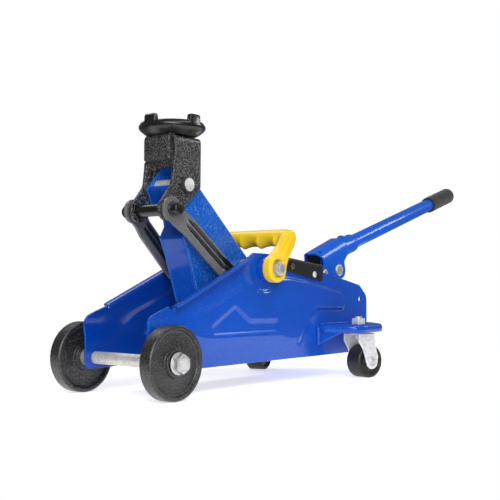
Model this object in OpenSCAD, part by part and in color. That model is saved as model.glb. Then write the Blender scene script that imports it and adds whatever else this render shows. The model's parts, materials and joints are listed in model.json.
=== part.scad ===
// Low-profile two-tonne trolley jack, modelled with its saddle raised.
// Millimetres. Z is up from the floor and X runs from the front wheels to the pump handle.
// Every module works in chassis coordinates, with X = 0 at the front axle; part_frame()
// then moves the origin to the middle of the jack's length.

/* [Wheels] */
// Radius of the two cast front wheels
front_wheel_r = 40; // [39:0.5:40]
// Width of a front wheel
front_wheel_w = 16.7; // [15:0.1:17]
// Radius of the two rear caster wheels
caster_wheel_r = 21.5; // [20.5:0.5:21.5]
// Angle that the casters are swung outwards at rest
caster_angle = 14; // [0:1:20]

/* [Chassis] */
// Clear width between the side plates
chassis_w = 100; // [100:1:102]
// Thickness of the side plates' sheet
sheet = 3; // [2.8:0.1:3]
// How far the pressed panel stands out of the side plate
panel_raise = 3; // [2:0.5:3]

/* [Lifting linkage] */
// Distance between the main pivot and the saddle pivot
arm_length = 145; // [144:0.5:145]
// Slope of the lift arm when it is fully raised
arm_slope = 40.7; // [40:0.1:41]
// Width of the lift arm across its cheeks
arm_w = 40; // [38:1:40]
// Radius of the saddle's rim
saddle_r = 39; // [36:1:40]

/* [Pump handle] */
// Slope of the pump handle at rest
handle_slope = 16.8; // [15:0.1:18]
// Radius of the handle's tube
tube_r = 10.3; // [10:0.1:10.5]
// Length of the handle from the socket pivot to its end
handle_reach = 393; // [360:1:400]

/* [Hidden] */
$fn = 72;

running = 0.05;
slack = 0.4;
corner_steps = 6;

// Side plates and what crosses them
plate_in = chassis_w / 2;
band_out = plate_in + sheet;
panel_out = band_out + panel_raise;
axle_at = [0, front_wheel_r];
axle_r = 7;
dish_r = 26;
lip_w = 7;

// Parallelogram: main pivot, saddle pivot, and the links' two ends
pivot_at = [179, 141];
arm_dir = [-cos(arm_slope), sin(arm_slope)];
saddle_pivot_at = pivot_at + arm_length * arm_dir;
link_offset = [-28, -29.5];
link_base_at = pivot_at + link_offset;
link_top_at = saddle_pivot_at + link_offset;

shaft_r = 8;
stud_r = 5;
hub_in = 62;
hub_out = 75;
shaft_end = 70.5;
nut_end = shaft_end + 8.5;
link_pin_r = 6;
cross_pin_r = 7;
cross_pin_end = 44;
link_t = 4;
link_base_in = 43;
link_top_in = 28.5;
link_eye_r = 14;
cheek_out = arm_w / 2;
bracket_in = cheek_out + 0.3;
bracket_out = bracket_in + 4;

// Hydraulic unit
ram_at = [140, 91];
ram_z = 84;
ram_r = 10;
ram_pin_r = 7;
ram_front = 151;
ram_back = 258;
yoke_half_w = 13;
cylinder_front = 236;
cylinder_end = 335;
cylinder_bore_r = 15;
pump_end = 408;
pump_half_w = 30;
valve_z = 66;
valve_start = 397;

// Saddle
saddle_x = 73;
bracket_top = 292;
saddle_base = 293;
rim_z = 309;
horn_z = 318;
saddle_pin_end = 33;
stem_r = 10;

// Front wheels and casters
wheel_in = 62.7;
wheel_out = wheel_in + front_wheel_w;
caster_at = [335.5, 87];
caster_trail = 10;
caster_w = 24;
caster_axle_r = 4;
fork_in = 13.2;
fork_out = 15.2;
fork_top = 58.8;
ear_top = 70;
ear_bottom = 59.6;

// Pump handle
socket_at = [361, 137.5];
socket_pin_r = 5.5;
roller_at = [394.5, 142.2];
roller_r = 8.5;
tube_foot = [384.7, 162.9];
tube_dir = [cos(handle_slope), sin(handle_slope)];
socket_half_w = 17;
socket_wall = 3;
hood_tilt = 3.3;
collar_r = 13.4;
socket_rear = 70;
screw_along = 46;
tube_start = -26;
grip_start = 317;
grip_r = 13;
grip_end_r = 5;
plunger_x = 389;
plunger_r = 6;

// Carry handle
bar_at = [208, 179];
bar_r = 11;
hub_r = 17;

// The middle of the jack's length, from the front wheels' front to the grip's end
grip_end_x = tube_foot[0] + (handle_reach - grip_end_r) * tube_dir[0]
    + (grip_r - grip_end_r) * tube_dir[1] + grip_end_r;
frame_x = (grip_end_x - front_wheel_r) / 2;

// ---- Helpers ----

function flat(p) = [p[0], p[1]];
function unit(v) = v / norm(v);

// Points of one corner of an outline, rounded to radius r
function corner(a, b, c, r) = r == 0 ? [b] :
    let (
        u = unit(a - b),
        v = unit(c - b),
        half = acos(u * v) / 2,
        centre = b + unit(u + v) * r / sin(half),
        from = b + u * r / tan(half) - centre,
        to = b + v * r / tan(half) - centre,
        start = atan2(from[1], from[0]),
        turn = (atan2(to[1], to[0]) - start + 540) % 360 - 180
    )
    [for (i = [0 : corner_steps]) centre + r * dir2(start + turn * i / corner_steps)];

function dir2(angle) = [cos(angle), sin(angle)];

// An outline whose points are [x, z, corner radius]
function rounded(pts) = [
    for (i = [0 : len(pts) - 1])
        each corner(flat(pts[(i + len(pts) - 1) % len(pts)]), flat(pts[i]),
                    flat(pts[(i + 1) % len(pts)]), pts[i][2])
];

// The same outline drawn in by d; its points run clockwise
function inset(pts, d) = [
    for (i = [0 : len(pts) - 1])
        let (
            p = flat(pts[i]),
            u = unit(p - flat(pts[(i + len(pts) - 1) % len(pts)])),
            v = unit(flat(pts[(i + 1) % len(pts)]) - p),
            side = [u[1] + v[1], -u[0] - v[0]] / (1 + u * v)
        )
        [p[0] + side[0] * d, p[1] + side[1] * d, pts[i][2]]
];

// Points along a circle round a centre
function arc(centre, r, from, to, steps = 12) =
    [for (i = [0 : steps]) centre + r * dir2(from + (to - from) * i / steps)];

// Extrudes an X-Z outline across the jack from y0 to y1
module across(y0, y1) {
    translate([0, y1, 0]) rotate([90, 0, 0]) linear_extrude(y1 - y0) children();
}

// A round bar across the jack; at is [x, z]
module rod(at, r, y0, y1, sides = $fn) {
    translate([at[0], y1, at[1]]) rotate([90, 0, 0]) cylinder(r = r, h = y1 - y0, $fn = sides);
}

// A round tube across the jack
module sleeve(at, r_out, r_in, y0, y1) {
    difference() {
        rod(at, r_out, y0, y1);
        rod(at, r_in, y0 - 1, y1 + 1);
    }
}

// A round bar along X at height z
module bar_x(x0, x1, r, z, sides = $fn) {
    translate([x0, 0, z]) rotate([0, 90, 0]) cylinder(r = r, h = x1 - x0, $fn = sides);
}

module both_sides() {
    children();
    mirror([0, 1, 0]) children();
}

// Turns the handle's own X axis onto the tube's axis
module along_tube() {
    translate([tube_foot[0], 0, tube_foot[1]]) rotate([0, -handle_slope, 0]) children();
}

module part_frame() {
    translate([-frame_x, 0, 0]) children();
}

// ---- Side plates ----

plate_pts = [
    [-15, 28, 7], [-15, 87, 12], [25, 101, 10], [148, 154, 20], [160, 160, 5],
    [194, 159, 8], [230, 151, 20], [347, 130, 40], [392, 121, 10], [410, 106, 14],
    [410, 30, 12]
];
panel_pts = [
    [34, 56, 10], [36, 84, 8], [85, 103, 20], [152, 131, 6], [204, 134, 6], [269, 126, 20],
    [343, 112, 12], [359, 101, 6], [350, 87.5, 6], [287, 89, 8], [272, 79, 8],
    [267, 64, 8], [247, 46, 12], [148, 48, 20]
];
pocket_pts = [
    [80, 62.5, 4], [80, 76, 4], [122, 99, 8], [150, 81, 8], [204, 80, 5], [204, 62.5, 5]
];
pocket_depth = 2;
lip_pts = [[26, 101.6], [147, 153.6], [148.4, 150.8], [27.4, 98.8]];
mark_pts = [[161.5, 105], [161.5, 114], [164, 114], [167, 109.5], [164, 105]];

module side_plate() {
    difference() {
        union() {
            across(plate_in, band_out) polygon(rounded(plate_pts));
            across(plate_in, panel_out) polygon(rounded(panel_pts));
            across(plate_in, plate_in + lip_w + sheet) polygon(lip_pts);
        }
        // Hollow behind the pressed panel, apart from the pocket and the pivot dish
        difference() {
            across(plate_in - 1, band_out) polygon(rounded(inset(panel_pts, sheet)));
            across(plate_in - 2, panel_out) polygon(rounded(inset(pocket_pts, -sheet)));
            rod(pivot_at, dish_r + sheet, plate_in - 2, panel_out);
        }
        across(plate_in - 1, plate_in + 1) polygon(rounded(inset(pocket_pts, -sheet)));
        across(panel_out - pocket_depth, panel_out + 1) polygon(rounded(pocket_pts));
        rod(pivot_at, dish_r, band_out + 0.6, panel_out + 1);
        across(panel_out - 1, panel_out + 1) polygon(mark_pts);
        // Relief slit where the lip begins
        translate([18, plate_in - 1, 94]) cube([2, lip_w + 5, 12]);
        rod(axle_at, axle_r, plate_in - 1, band_out + 1);
        rod(pivot_at, shaft_r, plate_in - 1, panel_out + 1);
        rod([393, 101.7], 3.5, plate_in - 1, band_out + 1);
    }
}

module left_side_plate() {
    color("royalblue") mirror([0, 1, 0]) side_plate();
}

module right_side_plate() {
    color("royalblue") side_plate();
}

// Pressed bracket that carries a caster, open towards the floor
ear_pts = [
    [400, band_out, 0], [400, 70, 14], [366, 107, 26], [304, 107, 26], [281, 62, 10],
    [281, band_out, 0]
];
ear_slot_pts = [
    [397, band_out - 1, 0], [397, 69, 11], [364.7, 104, 23], [306, 104, 23], [284.2, 62.6, 7],
    [284.2, band_out - 1, 0]
];

module caster_ear() {
    difference() {
        union() {
            translate([0, 0, ear_bottom])
                linear_extrude(ear_top - ear_bottom) polygon(rounded(ear_pts));
            across(band_out, band_out + 2) polygon([[281, 44], [281, 61], [330, 61], [330, 58]]);
        }
        translate([0, 0, ear_bottom - 1])
            linear_extrude(ear_top - ear_bottom + 1 - sheet) polygon(rounded(ear_slot_pts));
        translate([caster_at[0], caster_at[1], ear_bottom]) cylinder(r = stud_r, h = 20);
    }
}

module left_caster_ear() {
    color("royalblue") mirror([0, 1, 0]) caster_ear();
}

module right_caster_ear() {
    color("royalblue") caster_ear();
}

bolt_xs = [352, 396];
bolt_y = 20;

module base_plate() {
    color("royalblue") difference() {
        translate([250, -plate_in, 38]) cube([156, chassis_w, 4]);
        for (x = bolt_xs, y = [-bolt_y, bolt_y])
            translate([x, y, 37]) cylinder(r = 4, h = 6);
    }
}

module cross_plate() {
    color("royalblue") translate([232, -plate_in, 38]) cube([4, chassis_w, 12]);
}

// ---- Front axle ----

module front_axle() {
    color("silver") {
        rod(axle_at, axle_r, -wheel_out - 1, wheel_out + 1);
        both_sides() rod(axle_at, axle_r - 1, wheel_out, wheel_out + 11.5);
    }
}

module axle_collars() {
    color("gray") both_sides()
        sleeve(axle_at, 10, axle_r + running, band_out + 0.2, wheel_in - 0.5);
}

module front_axle_washers() {
    color("silver") both_sides()
        sleeve(axle_at, 12, axle_r - 1 + running, wheel_out + 1, wheel_out + 2.6);
}

module front_axle_nuts() {
    color("silver") both_sides() difference() {
        intersection() {
            rod(axle_at, 11, wheel_out + 2.6, wheel_out + 10.5, 6);
            translate([axle_at[0], wheel_out + 11.5, axle_at[1]]) rotate([90, 0, 0])
                cylinder(r1 = 9, r2 = 18, h = 9);
        }
        rod(axle_at, axle_r - 1, wheel_out, wheel_out + 12);
    }
}

// Cast wheel turned about Y: flat rim with soft edges, sunk web and a raised hub
module cast_wheel(r, w, bore_r, hub_r, web_t, rim_t) {
    edge = w * 0.1;
    web_lo = (w - web_t) / 2;
    web_hi = (w + web_t) / 2;
    rotate([-90, 0, 0]) rotate_extrude() polygon([
        [bore_r, 0], [hub_r, 0], [hub_r + 1, web_lo], [r - rim_t - 1.5, web_lo],
        [r - rim_t, edge], [r - rim_t + 1, 0], [r - edge, 0], [r, edge],
        [r, w - edge], [r - edge, w], [r - rim_t + 1, w], [r - rim_t, w - edge],
        [r - rim_t - 1.5, web_hi], [hub_r + 1, web_hi], [hub_r, w], [bore_r, w]
    ]);
}

module front_wheel() {
    translate([axle_at[0], wheel_in, axle_at[1]])
        cast_wheel(front_wheel_r, front_wheel_w, axle_r + running, 15, 8, 7);
}

module left_front_wheel() {
    color("dimgray") mirror([0, 1, 0]) front_wheel();
}

module right_front_wheel() {
    color("dimgray") front_wheel();
}

// ---- Main pivot ----

module pivot_shaft() {
    color("silver") {
        rod(pivot_at, shaft_r, -shaft_end, shaft_end);
        both_sides() rod(pivot_at, stud_r, shaft_end, nut_end + 1);
    }
}

module pivot_spacers() {
    color("gray") both_sides()
        sleeve(pivot_at, 12, shaft_r + running, cheek_out + 0.5, plate_in - 0.2);
}

module pivot_bosses() {
    color("royalblue") both_sides()
        sleeve(pivot_at, 14, shaft_r + running, band_out + 0.8, hub_in - 0.3);
}

module pivot_washers() {
    color("silver") both_sides()
        sleeve(pivot_at, 9.6, stud_r + running, shaft_end, shaft_end + 1.6);
}

module pivot_nuts() {
    color("silver") both_sides() difference() {
        intersection() {
            rod(pivot_at, 9.2, shaft_end + 1.6, nut_end, 6);
            translate([pivot_at[0], nut_end + 0.5, pivot_at[1]]) rotate([90, 0, 0])
                cylinder(r1 = 7.4, r2 = 16, h = 9);
        }
        rod(pivot_at, stud_r, shaft_end, nut_end + 2);
    }
}

// ---- Links of the parallelogram ----

module link_pins() {
    color("silver") both_sides() {
        rod(link_base_at, link_pin_r, link_base_in - 2.4, band_out);
        rod(link_base_at, 9, link_base_in - 2.4, link_base_in - 0.4);
        rod(link_base_at, 9, link_base_in + link_t + 0.4, band_out);
    }
}

link_span = norm(link_top_at - link_base_at);
link_drop = link_top_in - link_base_in;
knee_at = 114.8;
knee_drop = -9.4;
link_tilt = atan(-knee_drop / (knee_at - link_eye_r));
link_half = 11.5;
groove_w = 6;

// Runs from the base eye at the origin to the top eye along local +X. It leans inwards and
// then steps in at a knee, so that the saddle pin's end passes inside it when the arm is down.
module link_flat() {
    top_start = link_span - link_eye_r;
    difference() {
        union() {
            translate([0, 0, -link_half]) linear_extrude(2 * link_half) polygon([
                [0, 0], [link_eye_r, 0], [knee_at, knee_drop], [top_start, link_drop],
                [link_span, link_drop], [link_span, link_drop + link_t],
                [top_start, link_drop + link_t], [knee_at, knee_drop + link_t],
                [link_eye_r, link_t], [0, link_t]
            ]);
            rod([0, 0], link_eye_r, 0, link_t);
            rod([link_span, 0], link_eye_r, link_drop, link_drop + link_t);
        }
        for (z = [-6.5, 0.5]) translate([link_eye_r, link_t, z]) rotate([0, 0, -link_tilt])
            translate([8, -1.2, 0]) cube([knee_at - link_eye_r - 16, 4, groove_w]);
        rod([0, 0], link_pin_r + running, -10, 10);
        rod([link_span, 0], cross_pin_r, -40, 10);
    }
}

module link() {
    translate([link_base_at[0], link_base_in, link_base_at[1]])
        rotate([0, arm_slope - 180, 0]) link_flat();
}

module left_link() {
    color("black") mirror([0, 1, 0]) link();
}

module right_link() {
    color("black") link();
}

module link_cross_pin() {
    color("black") {
        rod(link_top_at, cross_pin_r, -cross_pin_end, cross_pin_end);
        both_sides() rod(link_top_at, cross_pin_r + 2, link_top_in + link_t, cross_pin_end - 7);
    }
}

// ---- Lift arm ----

arm_tip = [75, 259];
lip_tip = [50, 232];
arm_hub_r = 17.5;
arm_pts = concat(
    [lip_tip, arm_tip],
    arc(pivot_at, arm_hub_r, 47, -38),
    arc(ram_at, 13, -38, -128, 8),
    [[100, 103], [81, 157], [72, 176], [80, 190], [77, 200], [59, 213]]
);
top_web_pts = [
    arm_tip, pivot_at + arm_hub_r * dir2(47), pivot_at + (arm_hub_r - sheet) * dir2(47),
    arm_tip - [2, 3.6]
];

module lift_arm() {
    color("royalblue") difference() {
        union() {
            both_sides() across(cheek_out - sheet, cheek_out) polygon(arm_pts);
            across(-cheek_out + 1, cheek_out - 1) polygon(top_web_pts);
        }
        rod(saddle_pivot_at, shaft_r + running, -cheek_out - 1, cheek_out + 1);
        rod(pivot_at, 12.5, -cheek_out - 1, cheek_out + 1);
        rod(ram_at, ram_pin_r, -cheek_out - 1, cheek_out + 1);
    }
}

plate_gap = cheek_out - sheet;

module arm_front_plate() {
    color("royalblue") across(-plate_gap, plate_gap) {
        polygon([lip_tip, [59, 213], [61.5, 214.2], [53, 232.4]]);
        polygon([[100, 103], [81, 157], [72, 176], [75, 177], [84, 158], [102.8, 104]]);
    }
}

module arm_pivot_sleeve() {
    color("royalblue") sleeve(pivot_at, 12.5, shaft_r + running, -cheek_out, cheek_out);
}

module ram_pin() {
    color("silver") rod(ram_at, ram_pin_r, -cheek_out - 1.5, cheek_out + 1.5);
}

// ---- Saddle bracket and saddle ----

bracket_eye_r = 13;
bracket_pts = concat(
    [[50, bracket_top - 4], [54, bracket_top], [93.5, bracket_top], [97.5, bracket_top - 4],
     [96, 234], [67, 208.5]],
    arc(link_top_at, bracket_eye_r, -44, -214),
    [[48, 236], [54, 257], [50, 262]]
);

module saddle_bracket() {
    color("black") difference() {
        union() {
            both_sides() across(bracket_in, bracket_out) polygon(bracket_pts);
            translate([54, -bracket_in, bracket_top - 4]) cube([39.5, 2 * bracket_in, 4]);
            translate([51, -bracket_in, 263]) cube([4, 2 * bracket_in, bracket_top - 265]);
        }
        rod(saddle_pivot_at, shaft_r, -bracket_out - 1, bracket_out + 1);
        rod(link_top_at, cross_pin_r + slack, -bracket_out - 1, bracket_out + 1);
        translate([saddle_x, 0, bracket_top - 6]) cylinder(r = stem_r + running, h = 8);
    }
}

module saddle_pin() {
    color("silver") rod(saddle_pivot_at, shaft_r, -saddle_pin_end, saddle_pin_end);
}

horn_w = 15;
horn_depth = 7.8;

module saddle() {
    color("black") difference() {
        union() {
            translate([saddle_x, 0, 0]) rotate_extrude() polygon([
                [0, saddle_base], [27, saddle_base], [33, 296], [38, 300.5], [saddle_r, 303.5],
                [saddle_r - 1, 306], [saddle_r - 3.5, rim_z], [saddle_r - 8, rim_z],
                [saddle_r - 11, 302], [0, 302]
            ]);
            for (a = [0 : 90 : 270]) translate([saddle_x, 0, 0]) rotate([0, 0, a])
                intersection() {
                    translate([saddle_r - 3 - horn_depth, -horn_w / 2, 303])
                        cube([horn_depth, horn_w, horn_z - 303]);
                    cylinder(r = saddle_r - 3, h = 400);
                }
        }
        translate([saddle_x, 0, saddle_base - 1]) cylinder(r = stem_r - 2, h = 5);
    }
}

module saddle_stem() {
    color("black") translate([saddle_x, 0, 0]) {
        translate([0, 0, bracket_top - 7]) cylinder(r = stem_r, h = 8);
        translate([0, 0, bracket_top - 7]) cylinder(r = stem_r - 2, h = 11);
        translate([0, 0, bracket_top - 8.5]) cylinder(r = stem_r + 3, h = 4);
    }
}

// ---- Ram ----

module ram_piston() {
    color("silver") {
        bar_x(ram_front, ram_back, ram_r, ram_z);
        bar_x(ram_back - 10, ram_back, cylinder_bore_r - running, ram_z);
    }
}

module ram_yoke() {
    slot_half = ram_pin_r + 1.2;
    slot_low = 75.5;
    slot_high = 93;
    color("dimgray") difference() {
        translate([ram_at[0] - 12, -yoke_half_w, 64])
            cube([ram_front - ram_at[0] + 12, 2 * yoke_half_w, 42]);
        for (z = [slot_low, slot_high]) rod([ram_at[0], z], slot_half, -20, 20);
        translate([ram_at[0] - slot_half, -20, slot_low])
            cube([2 * slot_half, 40, slot_high - slot_low]);
    }
}

// ---- Hydraulic unit ----

module gland_nut() {
    color("dimgray") difference() {
        union() {
            bar_x(cylinder_front - 8, cylinder_front, 16, ram_z, 6);
            bar_x(cylinder_front, cylinder_front + 8, cylinder_bore_r, ram_z);
        }
        bar_x(cylinder_front - 9, cylinder_front + 9, ram_r + running, ram_z);
    }
}

module cylinder_tube() {
    color("dimgray") difference() {
        bar_x(cylinder_front, cylinder_end, 20, ram_z);
        bar_x(cylinder_front - 1, cylinder_end + 1, cylinder_bore_r, ram_z);
    }
}

module reservoir_tube() {
    color("royalblue") difference() {
        bar_x(cylinder_front + 6, cylinder_end, 31, ram_z);
        bar_x(cylinder_front + 9, cylinder_end + 1, 28.5, ram_z);
        bar_x(cylinder_front, cylinder_front + 20, 20, ram_z);
        translate([290, 0, 100]) cylinder(r = 5, h = 20);
    }
}

lug_in = 7.8;
lug_out = socket_half_w - socket_wall - 0.4;

module pump_body() {
    color("royalblue") difference() {
        union() {
            translate([cylinder_end, -pump_half_w, 44])
                cube([pump_end - cylinder_end, 2 * pump_half_w, 56]);
            bar_x(cylinder_end, cylinder_end + 12, 30, ram_z);
            both_sides() across(lug_in, lug_out) polygon(concat(
                [[347, 98]], arc(socket_at, 10.5, 165, 15, 10), [[375, 98]]));
        }
        both_sides() rod(socket_at, socket_pin_r, lug_in - 1, lug_out + 1);
        translate([plunger_x, 0, 60]) cylinder(r = plunger_r + running, h = 60);
        bar_x(valve_start - 1, pump_end + 1, 5, valve_z);
        for (x = bolt_xs, y = [-bolt_y, bolt_y])
            translate([x, y, 40]) cylinder(r = 4, h = 16);
    }
}

module pump_bolts() {
    color("silver") for (x = bolt_xs, y = [-bolt_y, bolt_y]) translate([x, y, 0]) {
        translate([0, 0, 33]) cylinder(r = 7, h = 5, $fn = 6);
        translate([0, 0, 38]) cylinder(r = 4, h = 16);
    }
}

module pump_barrel() {
    color("dimgray") difference() {
        translate([plunger_x, 0, 100]) cylinder(r = 10.5, h = 14, $fn = 6);
        translate([plunger_x, 0, 99]) cylinder(r = plunger_r + running, h = 16);
    }
}

module pump_plunger() {
    color("silver") translate([plunger_x, 0, 0]) {
        translate([0, 0, 64]) cylinder(r = plunger_r, h = 60);
        translate([0, 0, 122]) cylinder(r = 9, h = roller_at[1] - roller_r - 122.5);
    }
}

module filler_plug() {
    color("darkslategray") translate([290, 0, 0]) {
        translate([0, 0, 112.4]) cylinder(r = 5, h = 4);
        translate([0, 0, 115.2]) cylinder(r = 7.5, h = 4);
    }
}

module release_valve() {
    color("silver") difference() {
        union() {
            bar_x(valve_start, pump_end + 12, 5 - running, valve_z);
            bar_x(pump_end + 1, pump_end + 12, 8, valve_z);
        }
        translate([pump_end + 4, -10, valve_z - 1.6]) cube([10, 20, 3.2]);
    }
}

// ---- Pump cover ----

cover_in = band_out + 0.3;
cover_out = cover_in + 2.5;
cover_screw_at = [[232, 145], [279.5, 135]];
cover_pts = [
    [222, 138, 3], [224, 156, 2], [299, 147.8, 2], [299, 126.5, 3], [292.5, 125.6, 2.5],
    [292, 133, 1.5], [288.5, 133, 1.5], [288, 127, 2]
];

module pump_cover() {
    color("black") difference() {
        union() {
            both_sides() across(cover_in, cover_out) polygon(rounded(cover_pts));
            across(-cover_out + 0.5, cover_out - 0.5)
                polygon([[224, 153.5], [224, 156], [299, 147.8], [299, 145.2]]);
        }
        both_sides() for (at = cover_screw_at) rod(at, 2.5, cover_in - 1, cover_out + 1);
    }
}

module cover_screws() {
    color("silver") both_sides() for (at = cover_screw_at) {
        rod(at, 2.5, band_out, cover_out + 1);
        rod(at, 4, cover_out, cover_out + 1.6);
    }
}

// ---- Carry handle ----

bar_offset = bar_at - pivot_at;
bar_angle = atan2(bar_offset[1], bar_offset[0]);
bar_reach = norm(bar_offset);
teeth_angles = [-62, -38, -14];

// Side arm drawn with local +X running from the hub to the bar
module carry_arm() {
    difference() {
        union() {
            rod([0, 0], hub_r, hub_in, hub_out);
            across(hub_in, hub_out) polygon([
                [6, -15], [6, 14.5], [30, 9.5], [bar_reach - 8, bar_r],
                [bar_reach, bar_r], [bar_reach, -bar_r], [bar_reach - 8, -bar_r], [30, -9.5]
            ]);
            rod([bar_reach, 0], bar_r, hub_in, hub_out - 2);
            for (a = teeth_angles)
                rod([hub_r * cos(a), hub_r * sin(a)], 2.2, hub_in + 2, hub_out - 3);
        }
        rod([0, 0], shaft_r + running, hub_in - 1, hub_out);
        rod([0, 0], 10.4, shaft_end - 0.4, hub_out + 1);
    }
}

module carry_handle() {
    color("gold") translate([pivot_at[0], 0, pivot_at[1]]) rotate([0, -bar_angle, 0]) {
        both_sides() carry_arm();
        difference() {
            rod([bar_reach, 0], bar_r, -hub_in - 2, hub_in + 2);
            // Finger grooves under the bar
            for (y = [-36, -12, 12, 36]) translate([bar_reach - bar_r - 15.5, y, 0])
                cylinder(r = 19, h = 40, center = true);
        }
    }
}

// ---- Handle socket and handle ----

// Side outline of the socket in the tube's own frame: X along the tube, Y away from the pivot
socket_side = [
    [-34, 11, 3], [-34, 40, 0], [34, 40, 0], [33.5, -7, 3], [20.5, -14.5, 6], [19.5, -28, 8],
    [14, -36, 10], [-6, -36, 10], [-20, -29, 6], [-34.5, -29, 9], [-37, -16, 6], [-28.5, -6, 4],
    [-28.5, 4, 5]
];
socket_crown = 14.9;

// Inverted U nearly along the tube, with straight cheeks below a flattened round crown
// that rises a little towards the handle
module socket_profile(half_w, crown) {
    rotate([0, -hood_tilt, 0]) translate([-60, 0, 0]) rotate([0, 90, 0]) linear_extrude(120)
    union() {
        intersection() {
            circle(r = half_w);
            translate([-crown, -30]) square([40, 60]);
        }
        translate([0, -half_w]) square([60, 2 * half_w]);
    }
}

function in_tube(at) = [(at - tube_foot) * tube_dir,
    (at - tube_foot) * [-tube_dir[1], tube_dir[0]]];

module handle_socket() {
    color("royalblue") along_tube() difference() {
        union() {
            difference() {
                intersection() {
                    socket_profile(socket_half_w, socket_crown);
                    across(-30, 30) polygon(rounded(socket_side));
                }
                socket_profile(socket_half_w - socket_wall, socket_crown - socket_wall);
            }
            bar_x(-12, socket_rear, collar_r, 0);
        }
        bar_x(-50, socket_rear + 1, tube_r + running, 0);
        rod(in_tube(socket_at), socket_pin_r + running, -30, 30);
        rod(in_tube(roller_at), roller_r, -30, 30);
        translate([screw_along, 0, 5]) cylinder(r = 3, h = 20);
    }
}

module socket_pin() {
    color("silver") rod(socket_at, socket_pin_r, -socket_half_w - 1.6, socket_half_w + 1.6);
}

module socket_roller() {
    color("silver") rod(roller_at, roller_r, -socket_half_w - 2.5, socket_half_w + 2.5);
}

module socket_screw() {
    color("black") along_tube() translate([screw_along, 0, 0]) {
        translate([0, 0, tube_r + running]) cylinder(r = 3, h = 6);
        translate([0, 0, collar_r + 0.2]) cylinder(r = 5.5, h = 3.4, $fn = 6);
    }
}

module handle_tube() {
    color("dodgerblue") along_tube() difference() {
        bar_x(tube_start, handle_reach - 6, tube_r, 0);
        bar_x(tube_start - 1, handle_reach - 10, tube_r - 2, 0);
    }
}

module tube_plug() {
    color("black") along_tube() {
        bar_x(tube_start - 3, tube_start + 12, tube_r - 2, 0);
        bar_x(tube_start - 3, tube_start, tube_r - 0.4, 0);
    }
}

module handle_grip() {
    body_end = handle_reach - grip_end_r;
    color("darkslategray") along_tube() difference() {
        union() {
            bar_x(grip_start, body_end, grip_r, 0);
            translate([body_end, 0, 0]) rotate([0, 90, 0]) rotate_extrude() polygon(concat(
                [[0, 0]], arc([grip_r - grip_end_r, 0], grip_end_r, 0, 90, 8),
                [[0, grip_end_r]]));
        }
        bar_x(grip_start - 1, handle_reach - 6, tube_r, 0);
    }
}

// ---- Casters ----

// Places a caster piece: local X is the trailing direction, the stud is at the origin
module at_caster() {
    translate([caster_at[0], caster_at[1], 0]) rotate([0, 0, caster_angle]) children();
}

module caster_raceways() {
    color("silver") both_sides() translate([caster_at[0], caster_at[1], fork_top + 0.4])
        difference() {
            cylinder(r = 16, h = ear_top - sheet - fork_top - 0.4);
            translate([0, 0, -1]) cylinder(r = stud_r, h = 20);
        }
}

module caster_studs() {
    color("silver") both_sides() translate([caster_at[0], caster_at[1], 0]) {
        translate([0, 0, 53]) cylinder(r = stud_r, h = 27);
        translate([0, 0, 52]) cylinder(r = 8, h = 3.8);
    }
}

module caster_nuts() {
    color("silver") both_sides() translate([caster_at[0], caster_at[1], ear_top])
        difference() {
            cylinder(r = 9.8, h = 8, $fn = 6);
            translate([0, 0, -1]) cylinder(r = stud_r, h = 20);
        }
}

fork_pts = concat(
    [[-13, fork_top], [14, fork_top], [15, 44], [21, 28]],
    arc([caster_trail, caster_wheel_r], 10, 10, -150, 12),
    [[-6, 38], [-13, 48]]
);

module caster_fork() {
    at_caster() difference() {
        union() {
            both_sides() across(fork_in, fork_out) polygon(fork_pts);
            translate([-13, -fork_out, fork_top - 2.6]) cube([27, 2 * fork_out, 2.6]);
            translate([0, 0, fork_top - 2.6]) cylinder(r = 15, h = 2.6);
        }
        translate([0, 0, 50]) cylinder(r = stud_r + running, h = 20);
        rod([caster_trail, caster_wheel_r], caster_axle_r, -20, 20);
    }
}

module caster_wheel() {
    at_caster() translate([caster_trail, -caster_w / 2, caster_wheel_r])
        cast_wheel(caster_wheel_r, caster_w, caster_axle_r + running, 9, 18, 4);
}

module caster_axle() {
    at_caster() {
        rod([caster_trail, caster_wheel_r], caster_axle_r, -fork_out - 2, fork_out + 2);
        both_sides() rod([caster_trail, caster_wheel_r], 6, fork_out, fork_out + 1.5);
    }
}

module left_caster_fork() {
    color("gainsboro") mirror([0, 1, 0]) caster_fork();
}

module right_caster_fork() {
    color("gainsboro") caster_fork();
}

module left_caster_wheel() {
    color("dimgray") mirror([0, 1, 0]) caster_wheel();
}

module right_caster_wheel() {
    color("dimgray") caster_wheel();
}

module left_caster_axle() {
    color("silver") mirror([0, 1, 0]) caster_axle();
}

module right_caster_axle() {
    color("silver") caster_axle();
}

// ---- Nodes ----

part_frame() left_side_plate();
part_frame() right_side_plate();
part_frame() left_caster_ear();
part_frame() right_caster_ear();
part_frame() base_plate();
part_frame() cross_plate();
part_frame() front_axle();
part_frame() front_axle_washers();
part_frame() front_axle_nuts();
part_frame() axle_collars();
part_frame() pivot_shaft();
part_frame() pivot_spacers();
part_frame() pivot_bosses();
part_frame() pivot_washers();
part_frame() pivot_nuts();
part_frame() link_pins();
part_frame() pump_cover();
part_frame() cover_screws();
part_frame() pump_body();
part_frame() pump_bolts();
part_frame() cylinder_tube();
part_frame() reservoir_tube();
part_frame() gland_nut();
part_frame() pump_barrel();
part_frame() filler_plug();
part_frame() socket_pin();
part_frame() caster_raceways();
part_frame() caster_studs();
part_frame() caster_nuts();
part_frame() lift_arm();
part_frame() arm_front_plate();
part_frame() arm_pivot_sleeve();
part_frame() ram_pin();
part_frame() left_link();
part_frame() right_link();
part_frame() link_cross_pin();
part_frame() saddle_bracket();
part_frame() saddle_pin();
part_frame() saddle();
part_frame() saddle_stem();
part_frame() ram_piston();
part_frame() ram_yoke();
part_frame() carry_handle();
part_frame() handle_socket();
part_frame() socket_roller();
part_frame() socket_screw();
part_frame() handle_tube();
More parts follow.
